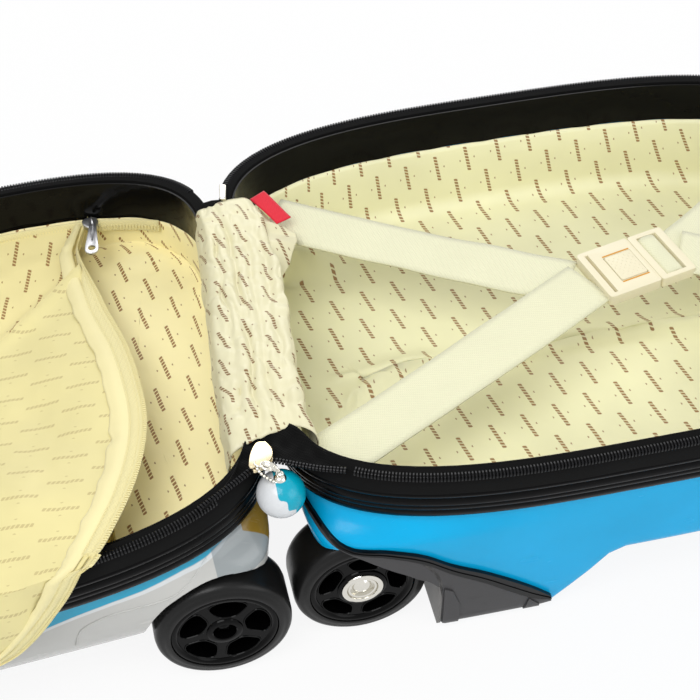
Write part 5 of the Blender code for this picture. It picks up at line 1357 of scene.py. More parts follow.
def make_fender(word, finish):
    """The dark skin round the wheel arch with its hollow fin, raised ends, inner wall and glossy strip."""
    side = -1 if word == "near" else 1
    upper, bead, lower = [
        smooth_line([(x, -z - part * height) for x, z, height in FENDER_SEAM], 60) * MM
        for part in (0.0, 0.55, 1.0)
    ]
    half_bead = np.array([0, 0.5 * MM])
    bottom = -FENDER_BOTTOM - 3 * MM
    skin = fender_skin(lower, bottom)
    strip = np.concatenate([upper, lower[::-1]])
    ridge = np.concatenate([bead + half_bead, (bead - half_bead)[::-1]])
    low = -FENDER_BOTTOM / MM - 2.8
    post = [(83.2, -97.5), (88.0, -101), (92.5, -114.5), (92.6, low), (85.6, low), (83.2, low + 2)]
    foot = [(131, low), (133.6, -122.8), (140.2, -130.6), (140.4, low)]
    for ending, points, thick, gap, look, slot in (
        ("", skin, 2.0, SEAT_GAP, "fender", "dark_grey_plastic"),
        ("_seal", strip, 2.8, SEAT_GAP, "gloss", "black_plastic"),
        ("_bead", ridge, 3.3, 2.6 * MM, "gloss", "black_plastic"),
        ("_post", np.array(post) * MM, 2.9, 1.8 * MM, "fender", "dark_grey_plastic"),
        ("_foot", np.array(foot) * MM, 2.9, 1.8 * MM, "fender", "dark_grey_plastic"),
        ("_wall", fender_wall(bottom), 2.0, None, "liner", "dark_grey_plastic"),
    ):
        label = f"back_{word}_fender{ending}"
        inner = side * (85 * MM if gap is not None else BACK_WHEEL_FACE - WHEEL_WIDTH + 4 * MM)
        made = prism(f"{label}_moulding", points, inner, side * (CASE_WIDTH / 2 + 10 * MM), "back")
        over_wall(made, thick * MM, gap)
        show_solid(made, finish[look], "back_half", [label] if ending in ("", "_seal") else [], slot)


def buckle_point(along, across):
    """A place in plan, from the buckle's middle along and across it."""
    cosine = math.cos(BUCKLE_TURN)
    sine = math.sin(BUCKLE_TURN)
    return Vector(
        (BUCKLE_AT[0] + along * cosine - across * sine, BUCKLE_AT[1] + along * sine + across * cosine)
    )


def wall_hit(start, direction, inset):
    """Where a ray in plan meets the outline of the back half, moved in by inset."""
    ring = [Vector(point) for point in in_half(1, RIM, inset, 0.0)[:, :2]]
    nearest = None
    for index, corner in enumerate(ring):
        edge = ring[(index + 1) % len(ring)] - corner
        turn = direction.cross(edge)
        if abs(turn) < 1e-12:
            continue
        reach = (corner - start).cross(edge) / turn
        share = (corner - start).cross(direction) / turn
        if reach > 0 and 0 <= share <= 1 and (nearest is None or reach < nearest):
            nearest = reach
    return start + direction * nearest


def belt(start, end, low_start, low_end, width, sag, seed):
    """A strap's middle surface between two points, as a grid with its flat coordinates."""
    start = np.array(start)
    end = np.array(end)
    length = np.linalg.norm(end - start)
    along = (end - start) / length
    across = np.array([-along[1], along[0]])
    shares = np.linspace(0, 1, 50)
    parts = np.linspace(-0.5, 0.5, 9)
    grid = np.zeros((len(shares), len(parts), 3))
    for column, part in enumerate(parts):
        grid[:, column, :2] = start + (end - start) * shares[:, None] + across * part * width
        hang = low_start + (low_end - low_start) * shares - sag * np.sin(math.pi * shares)
        twist = 0.8 * MM * part * np.sin(2.4 * math.pi * shares + seed)
        cup = -0.5 * MM * (2 * part) ** 2
        wave = 0.3 * MM * ripple(shares * length, part * width, 60 * MM, seed)
        grid[:, column, 2] = hang + twist + cup + wave
    return grid, flat_map(shares * length, parts * width)


def make_straps(finish):
    """Two pairs of crossed belts, sewn where they pass through the buckle."""
    half = BUCKLE_LENGTH / 2
    deepest = STRAP_DROP + 2 * STRAP_THICK
    inset = BAND_INSET + (deepest - BAND_TOP) * BAND_SLOPE + BAND_THICK + SEAT_GAP
    for name, loop_at, anchors, rests_on in (
        ("hinge_straps", -half - SEAT_GAP - 13.5 * MM, HINGE_STRAP_ANCHORS, "buckle_socket_moulding"),
        ("top_straps", half + SEAT_GAP + 13 * MM, TOP_STRAP_ANCHORS, "buckle_plug_moulding"),
    ):
        loop = buckle_point(loop_at, 0)
        inward = (buckle_point(0, 0) - loop).normalized() * 12 * MM
        for index, anchor in enumerate(anchors):
            end = wall_hit(loop, (Vector(anchor) - loop).normalized(), inset)
            start = loop + inward
            if name == "hinge_straps" and index:
                end = Vector(anchor)
                start = buckle_point(loop_at, 7.0 * MM) + inward * 0.2
            level = -STRAP_DROP + (1.0 * MM if index == 0 else -0.9 * MM)
            grid, uv = belt(start, end, level, -STRAP_DROP - 3 * MM, BELT_WIDTH, 1.5 * MM, 40 + index)
            label = f"{name}_{'far' if index else 'near'}_belt"
            hold = {"thick": BELT_CLOTH, "stands_for": [] if index else [name], "slot": "cream_fabric"}
            made = grid_piece(label, grid, finish["webbing"], "back_half", "back", uv=uv, sharp=60, **hold)
            declare_sheet(grid)


def buckle_plate(name, start, end, bottom, top, inset, round_ends=0.0):
    """A rectangle in the buckle's own plane as a prism, its corners rounded where asked."""
    wide = BUCKLE_WIDTH / 2 - inset
    corners = [(start, -wide), (end, -wide), (end, wide), (start, wide)]
    if round_ends:
        shape = []
        turns = np.linspace(0, math.pi / 2, 7)
        for index, (x, y) in enumerate(corners):
            out_x = 1 if x == start else -1
            out_y = 1 if y == -wide else -1
            arc = [
                (x + out_x * round_ends * (1 - math.cos(t)), y + out_y * round_ends * (1 - math.sin(t)))
                for t in turns
            ]
            shape += arc[::-1] if index % 2 else arc
        corners = shape
    return prism(name, [tuple(buckle_point(x, y)) for x, y in corners], bottom, top, "back", "z")


def buckle_strip(name, start, end, across, wide, bottom, top):
    """A narrow prism along the buckle, across from its middle."""
    edges = ((start, -wide), (end, -wide), (end, wide), (start, wide))
    corners = [tuple(buckle_point(along, across + part)) for along, part in edges]
    return prism(name, corners, bottom, top, "back", "z")


def buckle_socket(centre, low, high):
    """The socket: its body, the slit at its end, the press plate's well and the step at its mouth."""
    half = BUCKLE_LENGTH / 2
    over = high + 2 * MM
    body = (-half, BUCKLE_SPLIT, low, high, 0.0)
    socket = buckle_plate("buckle_socket_moulding", *body, round_ends=2.5 * MM)
    cuts = [buckle_plate("slit_tool", -half + 4.2 * MM, -half + 6.4 * MM, low - 2 * MM, over, 3.0 * MM)]
    well = (centre - PAD_LENGTH, centre + PAD_LENGTH, low + 2.6 * MM)
    cuts.append(buckle_plate("well_tool", *well, over, 9.4 * MM))
    mouth = (BUCKLE_SPLIT - 1.2 * MM, BUCKLE_SPLIT + 1 * MM, high - 0.6 * MM)
    cuts.append(buckle_plate("step_tool", *mouth, over, -1 * MM))
    boolean(socket, cuts, solver="EXACT")
    return socket


def buckle_plug(low, high):
    """The plug: its body, the two slots for the belt and the lowered bar between them."""
    half = BUCKLE_LENGTH / 2
    over = high + 2 * MM
    body = (BUCKLE_SPLIT + 0.1 * MM, half, low, high - 0.3 * MM, 0.0)
    plug = buckle_plate("buckle_plug_moulding", *body, round_ends=1.6 * MM)
    slots = (BUCKLE_SPLIT + 4.6 * MM, BUCKLE_SPLIT + 6.4 * MM), (half - 7.4 * MM, half - 5.0 * MM)
    cuts = [buckle_plate("ladder_tool", *slot, low - 2 * MM, over, 3.2 * MM) for slot in slots]
    bar = (BUCKLE_SPLIT + 6.0 * MM, half - 7.0 * MM, high - 1.7 * MM)
    cuts.append(buckle_plate("bar_tool", *bar, over, 3.2 * MM))
    boolean(plug, cuts, solver="EXACT")
    return plug


def make_buckle(finish):
    """The buckle: socket and plug, the belt round its bar, painted shade in its side slots and the press
    plate.
    """
    low = -STRAP_DROP - 2.4 * MM
    high = -STRAP_DROP + BUCKLE_THICK / 2
    centre = BUCKLE_SPLIT - 13 * MM
    socket = buckle_socket(centre, low, high)
    plug = buckle_plug(low, high)
    for made, node in ((socket, "buckle_socket"), (plug, "buckle_plug")):
        show_solid(made, finish["ivory"], "back_half", [node], "ivory_plastic", 0.5 * MM)
    bar_length = BUCKLE_LENGTH / 2 - BUCKLE_SPLIT - 11.6 * MM
    make_bar_loop(BUCKLE_SPLIT + 5.4 * MM, bar_length, high - 2.6 * MM, finish["webbing"])
    # Painted shade: an orange-brown strip in each side slot stands for the shade there and the light
    # through the translucent ivory plastic.
    for index, across in enumerate((-11.5 * MM, 11.5 * MM)):
        ends = (centre - 9.0 * MM, centre + 9.0 * MM)
        levels = (high - 0.8 * MM, high + 0.12 * MM)
        made = buckle_strip(f"buckle_slot_shade_inlay_{index}", *ends, across, 0.55 * MM, *levels)
        show_solid(made, finish["slot_shade"], "back_half", (), "ivory_plastic", 0.1 * MM)
    place = (centre - 8.8 * MM, centre + 8.8 * MM, high - 2.6 * MM, high + 0.5 * MM, 9.8 * MM)
    button = buckle_plate("buckle_press_plate", *place, round_ends=1.2 * MM)
    show_solid(button, finish["ivory"], "buckle_release", ["buckle_button"], "ivory_plastic", 0.4 * MM)
    make_studs(centre, high, finish["ivory"])


def make_bar_loop(start, length, low, finish):
    """The webbing that arches over the plug's bar."""
    shares = np.linspace(0, 1, 12)
    parts = np.linspace(-1, 1, 9)
    grid = np.zeros((12, 9, 3))
    for row, share in enumerate(shares):
        for column, part in enumerate(parts):
            place = buckle_point(start + length * share, part * (BUCKLE_WIDTH / 2 - 3.6 * MM))
            grid[row, column] = (place.x, place.y, low + 2.0 * MM * math.sin(math.pi * share) ** 0.5)
    hold = {
        "uv": flat_map(shares * 0.014, parts * 0.017), "thick": 1.0 * MM, "slot": "cream_fabric",
        "sharp": 60,
    }
    made = grid_piece("top_straps_bar_loop", grid, finish, "back_half", "back", **hold)
    declare_sheet(grid)


def make_studs(centre, high, finish):
    """The small pointed studs on the press plate, in a chequered pattern."""
    points = []
    faces = []
    for row in range(-4, 5):
        for column in range(-4, 5):
            if (row + column) % 2:
                continue
            along, across = centre + column * 1.75 * MM, row * 1.85 * MM
            start = len(points)
            for ahead, aside in ((0.95, 0), (0, 1.0), (-0.95, 0), (0, -1.0)):
                points.append((*buckle_point(along + ahead * MM, across + aside * MM), high + 0.45 * MM))
            middle = buckle_point(along, across)
            points += [(*middle, high + 0.85 * MM), (*middle, high + 0.2 * MM)]
            for corner in range(4):
                after = (corner + 1) % 4
                faces.append((start + corner, start + after, start + 4))
                faces.append((start + after, start + corner, start + 5))
    piece(
        "buckle_press_studs", points, faces, finish, "buckle_release", "back", slot="ivory_plastic",
        sharp=20,
    )


def gusset_section(y):
    """The hinge cloth's cross-section at y, in millimetres: left tuck, over both rims, right fold."""
    left = float(
        np.interp(y, (-103, -62.6, -24.6, 15.5, 49.4, 88.6), (-25.2, -23.7, -21.2, -17.4, -14.8, -11.9))
    )
    right = float(
        np.interp(y, (-103, -77, -39, 1, 28, 54, 75, 93), (23.5, 21.7, 23.9, 26.9, 28.1, 26.1, 25.8, 22.5))
    )
    rim = float(edge_at(y * MM) - HINGE_EDGE) / MM
    points = [
        (left + 1.5, -31), (left, -22), (left - 0.2, -13), (left + 0.8, -7),
        (min(left + 4, -rim - 9.5), -2.8),
    ]
    points += [(-rim - 7.5, 0.8), (-rim - 4, 1.3), (0, 1.6), (rim + 4, 1.5), (rim + 9, 1.3)]
    points += [
        ((rim + 9 + right) / 2 + 0.5, 0.8), (right - 1.8, -0.6), (right, -2.8), (right + 0.4, -8),
        (right - 0.6, -15), (right - 1.5, -26),
    ]
    return np.array(points)


def gusset_lobes(x, y):
    """How full the cloth is, 0 in a crease and 1 between creases, which run along the hinge."""
    fullness = np.ones_like(x)
    for index, line in enumerate(CREASES):
        centre = np.interp(y, CREASE_LEVELS, line) + 1.3 * ripple(0 * y, y, 34.0, 80 + index)
        depth = np.clip(0.75 + 0.45 * ripple(0 * y, y, 52.0, 90 + index), 0.1, 1.0)
        distance = (x - centre) / (1.5 + 0.5 * index % 2)
        fullness = fullness * (1 - depth * np.exp(-(distance**2)))
    return fullness


def gusset_grid():
    """The surface of the cloth over the hinge in millimetres: rows along the hinge, columns across."""
    shares = np.linspace(0, 1, 150)
    columns = 110
    near = (-27, -17, -2.6, 12.6, 23), (-105.0, -102.5, -99.6, -96.0, -102.0)
    far = (-13, -9.2, 1, 10.5, 20.5, 26), (82.0, 85.5, 88.5, 91.0, 92.0, 88.0)
    grid = np.zeros((len(shares), columns, 3))
    for row, share in enumerate(shares):
        middle = GUSSET_NEAR / MM + (GUSSET_FAR - GUSSET_NEAR) / MM * share
        line = smooth_line(gusset_section(middle), columns)
        x, z = line[:, 0], line[:, 1]
        low = np.interp(x, *near)
        y = low + (np.interp(x, *far) - low) * share
        loose = float(smoothstep(min(share, 1 - share) / 0.1))
        over = smoothstep((z + 9) / 7)
        full = gusset_lobes(x, y)
        ridges = 1 - np.minimum(1, np.abs(ripple(x, y * 0.45, 13.0, 53)) * 1.5)
        height = (3.4 * full - 1.1 * ridges * full + 0.25 * ripple(x, y, 9.0, 54)) * (0.35 + 0.65 * loose)
        hem = smoothstep((z + 14) / 10) * smoothstep((x - 14) / 6)
        swell = 1.3 * ripple(0 * x, y, 46.0, 55) + 0.3 * ripple(z, y, 13.0, 56)
        grid[row, :, 0] = x + swell * hem * loose + 0.5 * ripple(z, y, 22.0, 57) * (1 - over)
        grid[row, :, 1] = y + 0.5 * full * loose
        sunken = 1.4 * (1 - smoothstep(min(share, 1 - share) * 190 / 3))
        grid[row, :, 2] = z + np.maximum(height, 0) * over - sunken
    return grid


def make_gusset(finish):
    """The printed cloth over the hinge: tight on the front half, in puffed folds towards the back half."""
    grid = gusset_grid() * MM
    steps = np.linalg.norm(np.diff(grid[:, :, ::2], axis=1), axis=2)
    reach = np.concatenate([np.zeros((len(grid), 1)), np.cumsum(steps, axis=1)], axis=1)
    reach -= reach[:, 46:47] - 0.05
    uv = np.stack([reach, grid[:, :, 1]], 2)
    made = grid_piece(
        "hinge_cloth", grid, finish["gusset"], None, "back", uv=uv, thick=THIN_CLOTH, sharp=80
    )
    cross_hinge(made, ["hinge_gusset"])
    declare_sheet(grid)


def declare_sheet(grid, width=None):
    """Works out a sheet's width along its middle column when none is given, and does nothing with it."""
    if width is None:
        width = float(np.linalg.norm(np.diff(grid[:, grid.shape[1] // 2], axis=0), axis=1).sum())


def cross_hinge(made, stands_for):
    """Puts a piece that crosses the hinge in the shared frame, and hides the nodes that it stands for."""
    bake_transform(made)
    if stands_for:
        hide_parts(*stands_for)


def rim_slope(x):
    """Height of the two rims' plane at x: the front half leans down away from the hinge."""
    return np.where(x < 0, x * math.sin(FRONT_SLOPE), 0.0)


def tooth_row(path, out, up, tooth, half_width, run=None):
    """Points and faces of one closed tooth at each point of a path, out and up from it."""
    run = unit(np.gradient(path, axis=0)) if run is None else run
    points = []
    faces = []
    for centre, away, top, along in zip(path, out, np.broadcast_to(up, path.shape), run):
        faces += tooth_faces(len(points), len(tooth))
        for across in (-half_width, half_width):
            points += [
                centre + away * reach * MM + along * across + top * lift * MM for reach, lift in tooth
            ]
    return points, faces


def make_hinge_tapes(finish):
    """At each end of the hinge, the black zip tape that joins the two halves; near, with its free coil."""
    lengths = np.linspace(0, 5, 6)
    parts = np.linspace(-1, 1, 25)
    y = GUSSET_FAR + (lengths[:, None] - 1.0) * MM + 0 * parts[None]
    x = parts[None] * (edge_at(y[:, :1]) + 3 * MM)
    far = np.stack([x, y, (1.2 - 0.5 * np.abs(parts)) * MM + rim_slope(x)], 2)
    outer = smooth_line(COIL_LINE, 90) * MM
    inner = smooth_line(RIM_LINE, 90) * MM
    shares = np.linspace(0, 1, 14)[:, None]
    x = inner[None, :, 0] + (outer[:, 0] - inner[:, 0])[None] * shares
    y = inner[None, :, 1] + (outer[:, 1] - inner[:, 1])[None] * shares
    free = np.sin(math.pi * shares) * smoothstep((30 * MM - np.abs(x)) / (14 * MM))
    wave = 0.9 * ripple(x / MM, y / MM, 12.0, 61) - 1.6
    near = np.stack([x, y, rim_slope(x) + (1.6 - 0.9 * shares + free * wave) * MM], 2)
    for word, grid in (("far", far), ("near", near)):
        hold = {"uv": grid[:, :, :2].copy(), "thick": EDGE_CLOTH, "sharp": 75}
        made = grid_piece(f"hinge_{word}_zip_cloth", grid, finish["tape"], None, "back", **hold)
        cross_hinge(made, [f"hinge_{word}_tape"])
    length = length_along(outer)
    x, y = interpolate(np.linspace(0, length[-1], int(length[-1] / HINGE_TOOTH_PITCH)), length, outer).T
    path = np.stack([x, y, rim_slope(x) + 0.7 * MM], 1)
    run = unit(np.gradient(path[:, :2], axis=0))
    out = np.stack([run[:, 1], -run[:, 0], 0 * x], 1)
    points, faces = tooth_row(path, out, (0.0, 0.0, 1.0), HINGE_TOOTH, HINGE_TOOTH_HALF)
    made = piece("hinge_near_coil", points, faces, finish["coil"], None, "back", sharp=60)
    cross_hinge(made, [])


def flap_surface(share, part):
    """Points of the open flap: share from its free edge on, part from the far side to the near rim.

    The near rim lies at part 1, and beyond it the cloth hangs down outside the case, to 1.3.
    """
    share, part = np.broadcast_arrays(np.asarray(share, float), np.asarray(part, float))
    edge_x, edge_y, edge_z = np.moveaxis(
        interpolate(part, np.linspace(0, 1, 200), smooth_line(FLAP_EDGE, 200)), -1, 0
    )
    on_top = np.minimum(part, 1)
    beyond = np.clip((part - 1) / 0.3, 0, 1)
    levels = np.linspace(0, 1, 40)
    left, right = [interpolate(beyond, levels, smooth_line(line, 40)) for line in (FLAP_HANG, FLAP_BACK)]
    hang_u, hang_z = [left[..., axis] * (1 - share) + right[..., axis] * share for axis in (0, 1)]
    end_u = FLAP_END - 50 * smoothstep((part - 0.8) / 0.2)
    u = np.where(part > 1, hang_u, -edge_x + (end_u + edge_x) * share)
    side = side_at(u * MM) / MM
    far = side - 13.5 - 10 * smoothstep((u - 270) / 70)
    near = -(side + 4.5)
    bow = edge_y - (FLAP_EDGE[0][1] + (FLAP_EDGE[-1][1] - FLAP_EDGE[0][1]) * on_top)
    y = far + (near - far) * on_top + bow * (1 - share) ** 2
    y = np.where(part > 1, near - 0.6 * np.sin(math.pi * beyond), y)
    sunk = smoothstep((share - 0.45) / 0.5) * smoothstep((1.0 - part) / 0.25)
    belly = -3.0 * np.sin(math.pi * np.clip(part / 0.75, 0, 1)) * smoothstep(share / 0.3)
    lift = -31 + 32 * smoothstep((part - 0.3) / 0.5) * (1 - 0.85 * sunk)
    z = edge_z + (lift - edge_z) * smoothstep(share / 0.35) + belly
    wave = 1.3 * np.sin(5 * part * math.pi + 4 * share) * smoothstep(5 * part * (0.9 - part))
    rest = np.interp(side - np.abs(y), (-6.0, 11.5, 16.0, 30.0), (2.6, 2.6, 0.5, -40.0))
    z = np.where(y < 0, np.maximum(z + wave, rest), z + wave)
    return np.stack([-u, y, np.where(part > 1, hang_z, z)], -1) * MM


def make_flap(finish):
    """The zipped divider, opened at the hinge end, folded over and laid across the near rim."""
    parts = np.concatenate([np.linspace(0, 1, 90), np.linspace(1, 1.3, 26)[1:]])
    shares, parts = np.meshgrid(np.linspace(0, 1, 90), parts, indexing="ij")
    grid = flap_surface(shares, parts)
    inner = smoothstep(7 * shares) * smoothstep(8 * parts) * smoothstep(8 * (1.3 - parts))
    x = grid[:, :, 0]
    y = grid[:, :, 1]
    folds = ripple(x, y * 0.4, 46 * MM, 71) * 0.8 + ripple(x, y, 20 * MM, 72) * 0.3
    line = (y - FOLD_START - FOLD_SLOPE * x) / math.hypot(1, FOLD_SLOPE)
    crease = 4.5 * np.exp(-((line / (4 * MM)) ** 2)) - 3.0 * smoothstep(line / (6 * MM))
    crease = crease * smoothstep((-60 * MM - x) / (12 * MM))
    soft = inner * np.where(parts > 1, 0.5, 1.0)
    grid[:, :, 2] += np.where(parts > 0.72, np.maximum(folds, 0), folds) * soft * MM
    grid[:, :, 2] += crease * smoothstep((0.5 - parts) / 0.3) * smoothstep(8 * parts) * MM
    hang = smoothstep((parts - 1.0) / 0.1)
    grid[:, :, 1] -= hang * (0.8 + 0.8 * ripple(x, 0 * y, 34 * MM, 75)) * MM
    steps = np.cumsum(np.linalg.norm(np.diff(grid, axis=1), axis=2), axis=1)
    reach = np.concatenate([np.zeros((len(grid), 1)), steps], axis=1)
    hold = {"uv": np.stack([x, 0.14 - reach], 2), "thick": THIN_CLOTH, "sharp": 75}
    hold.update(stands_for=["divider_flap"], slot="yellow_fabric")
    made = grid_piece("divider_cloth", grid, finish["flap"], "front_half", "front", **hold)
    declare_sheet(grid, 0.27)
    reach = np.linspace(0.0, 1.3, 170)
    edge = flap_surface(0 * reach, reach)
    inward = unit(flap_surface(0 * reach + 0.04, reach) - edge)
    tucked = [made, *make_edge_tape("divider_edge_tape", edge, inward, finish["flap_tape"])]
    tucked.append(make_facing(edge, inward, reach, finish["facing"]))
    for cover in tucked:
        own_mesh(cover)


def make_facing(edge, inward, reach, finish):
    """The plain puckered strip sewn beside the zip tape on the flap."""
    parts = np.linspace(0, 1, 12)
    width = (3.0 + 8.5 * np.sin(math.pi * np.clip(reach / 1.25, 0, 1)) ** 0.7) * MM
    pucker = ripple(0 * reach, reach * 300, 17.0, 76)
    outside = reach > 1
    rows = []
    for part in parts:
        row = edge + inward * ((3.0 * MM + width * part) * (1 + 0.05 * pucker * part))[:, None]
        lift = 0.9 + 1.5 * math.sin(math.pi * part) + 0.4 * part * np.sin(reach * 60) * (0.4 + 0.6 * pucker)
        row[:, 2] += np.where(outside, 0.3, 1.0) * np.maximum(lift, 0.5) * MM
        row[:, 1] -= np.where(outside, 1.0, 0.0) * np.maximum(lift, 0.5) * MM
        rows.append(row)
    grid = np.stack(rows)
    hold = {
        "uv": flat_map(parts * 0.01, reach * 0.3), "thick": 0.5 * MM, "slot": "yellow_fabric", "sharp": 75
    }
    made = grid_piece("divider_facing", grid, finish, "front_half", "front", **hold)
    declare_sheet(grid, 0.011)
    return made


def make_edge_tape(name, line, inward, finish):
    """A woven tape with two seams along the flap's free edge, with zip teeth on its outer side."""
    up = unit(np.cross(np.gradient(line, axis=0), inward))
    up *= np.where(up[:, 2] < 0, -1, 1)[:, None]
    outside = line[:, 1] < -150 * MM
    up[outside] *= np.sign(-up[outside][:, 1:2])
    turn = smoothstep((line[:, 1] - 60 * MM) / (50 * MM))[:, None]
    outward = -inward * (1 - 0.75 * turn) + up * 0.66 * turn
    width = 9.0 * MM
    parts = np.array([-0.6, -0.42, -0.36, -0.3, -0.12, 0.1, 0.16, 0.22, 0.5])
    relief = np.array([0.4, 1.0, 0.6, 1.0, 1.1, 1.0, 0.6, 0.9, 0.6]) * MM
    grid = line + outward * (parts * width)[:, None, None] + up * (relief + 0.5 * MM)[:, None, None]
    hold = {"slot": "yellow_fabric", "sharp": 60}
    uv = flat_map(parts * width, np.linspace(0, 0.34, len(line)))
    made = grid_piece(name, grid, finish, "front_half", "front", uv=uv, thick=TAPE_CLOTH, **hold)
    declare_sheet(grid, 0.0105)
    length = length_along(line)
    at = np.linspace(0, length[-1], int(length[-1] / EDGE_TOOTH_PITCH))
    path, out, rise = [interpolate(at, length, values) for values in (line, outward, up)]
    tooth = [(reach, lift + 0.4) for reach, lift in EDGE_TOOTH]
    points, faces = tooth_row(path, out, rise, tooth, EDGE_TOOTH_HALF)
    coil = piece(name + "_coil", points, faces, finish, "front_half", "front", **hold)
    return made, coil


def make_wall_zip(finish):
    """The divider's zip along the far wall of the front half, closed behind its slider."""
    u = np.linspace(34 * MM, 330 * MM, 160)
    inset = 14.5 * MM + 10 * MM * smoothstep((u - 270 * MM) / (70 * MM))
    line = np.stack([-u, side_at(u) - inset, 0 * u - 27.0 * MM], 1)
    run = unit(np.gradient(line, axis=0))
    inward = np.stack([run[:, 1], -run[:, 0], 0 * u], 1)
    inward *= np.sign(inward[len(u) // 2, 1]) * -1
    grid = np.stack([line + inward * reach * MM - np.array([0, 0, drop * MM]) for reach, drop in WALL_TAPE])
    hold = {"slot": "yellow_fabric", "sharp": 60}
    uv = flat_map(np.arange(6) * 1.5 * MM, u)
    grid_piece("divider_wall_tape", grid, finish, "front_half", "front", uv=uv, thick=TAPE_CLOTH, **hold)
    at = np.linspace(0, len(u) - 1, int((u[-1] - u[0]) / WALL_TOOTH_PITCH))
    path, out, along = [interpolate(at, np.arange(len(u)), values) for values in (line, inward, run)]
    points, faces = tooth_row(path, out, (0.0, 0.0, 1.0), WALL_TOOTH, EDGE_TOOTH_HALF, along)
    piece("divider_wall_coil", points, faces, finish, "front_half", "front", **hold)


def make_label(finish):
    """A plain woven label that lies over the belt's end, curling a little at its free end."""
    start = np.array([28.4 * MM, 98.0 * MM])
    end = np.array([40.2 * MM, 73.6 * MM])
    along = unit(end - start)
    across = np.array([-along[1], along[0]])
    shares, parts = np.meshgrid(np.linspace(0, 1, 20), np.linspace(-1, 1, 9), indexing="ij")
    plan = start + (end - start) * shares[:, :, None] + across * parts[:, :, None] * 5.3 * MM
    height = -5.0 * MM + (-1.8 * shares + 0.5 * np.sin(4 * shares + parts)) * MM
    grid = np.concatenate([plan, height[:, :, None]], 2)
    hold = {"stands_for": ["label_tab"], "slot": "red_label", "sharp": 60, "thick": THIN_CLOTH}
    uv = np.stack([shares * 0.03, parts * 5.5 * MM], 2)
    made = grid_piece("plain_label", grid, finish, "back_half", "back", uv=uv, **hold)
    declare_sheet(grid)


def make_corner_fold(finish):
    """The loose corner of the hinge cloth that is tucked over the far belt's end, folded to a point."""
    stops = (0, 12, 24, 38, 44, 58, 72)
    corners = [(21, 93), (29, 88), (34, 75), (45.5, 63), (45, 57), (37, 41), (28, 29)]
    roots = [(20, 90), (22, 84), (24, 76), (25.5, 64), (26, 56), (26.5, 42), (26, 29)]
    at = np.arange(73)
    edge = interpolate(at, stops, corners)
    root = interpolate(at, stops, roots)
    creased = np.interp(at, (0, 10, 20, 31, 40, 48, 60, 72), (0.0, 1.0, -1.2, 1.6, -1.4, 1.8, -0.8, 0.0))
    shares = np.linspace(0, 1, 22)[:, None]
    x = root[None, :, 0] + (edge[:, 0] - root[:, 0])[None] * shares
    y = root[None, :, 1] + (edge[:, 1] - root[:, 1])[None] * shares
    z = -3.0 - 6.5 * shares**1.3 + creased[None] * np.sin(math.pi * np.minimum(shares * 0.75 + 0.1, 1))
    z = z - 3.5 * smoothstep((50 - y) / 14) * shares
    grid = np.stack([x, y, z], 2) * MM
    hold = {"uv": grid[:, :, :2].copy(), "thick": THIN_CLOTH, "slot": "cream_fabric", "sharp": 50}
    made = grid_piece("hinge_cloth_corner", grid, finish, "back_half", "back", **hold)
    declare_sheet(grid)


def make_end_box(finish):
    """The small metal box that ends the zip, on the far corner of the back rim."""
    made = plate("zip_end_box", [(4.6, 90.5), (8.4, 89.5), (11.0, 102.5), (6.6, 104.0)], 0.6, 3.6)
    show_solid(made, finish, "back_half", (), "chrome", 0.9 * MM)


def tube(name, path, radii, finish, body, slot, closed=False, half="back", steps=12, stands_for=()):
    """A round tube of uneven thickness along a path, closed into a ring or with rounded ends."""
    path = np.asarray(path, float)
    radii = np.broadcast_to(np.asarray(radii, float), (len(path),))
    tangent = round_about(path) if closed else unit(np.gradient(path, axis=0))
    guide = np.cross(tangent[0], tangent[len(path) // 3])
    if np.linalg.norm(guide) < 1e-3:
        guide = np.array([0.1, 0.2, 1.0])
    grid = rings_round(path, tangent, guide, radii[:, None, None], steps)
    faces = grid_faces(len(path), steps, True, True) if closed else capped_faces(len(path), steps)
    return piece(
        name, grid.reshape(-1, 3), faces, finish, body, half, slot=slot, stands_for=stands_for, sharp=50
    )


def ring_path(centre, radius, normal):
    """Points of a circle square to a direction."""
    normal = Vector(normal).normalized()
    first = normal.orthogonal().normalized() * radius
    second = normal.cross(normal.orthogonal().normalized()) * radius
    centre = Vector(centre)
    return [tuple(centre + first * math.cos(angle) + second * math.sin(angle)) for angle in full_turn(28)]


def make_slider(finish):
    """The zip's slider: a body on the coil, a bridge and a shield-shaped plate."""
    shape = smooth_line(SLIDER_PLATE + SLIDER_PLATE[:1], 48)[:-1]
    middle = shape.mean(0)
    made = plate("zip_slider_plate", shape, 4.2, 5.6)
    base = middle + (shape - middle) * 0.86 + np.array([0.6, -1.2])
    bridge = middle + (shape - middle) * np.array([0.3, 0.5])
    for name, points, low, high in (
        ("slider_base_tool", base, 0.4, 2.9), ("slider_bridge_tool", bridge, 1.0, 4.8)
    ):
        boolean(made, [plate(name, points, low, high)], "UNION", "EXACT")
    show_solid(made, finish, "back_half", ["zip_slider"], "chrome", 0.45 * MM)


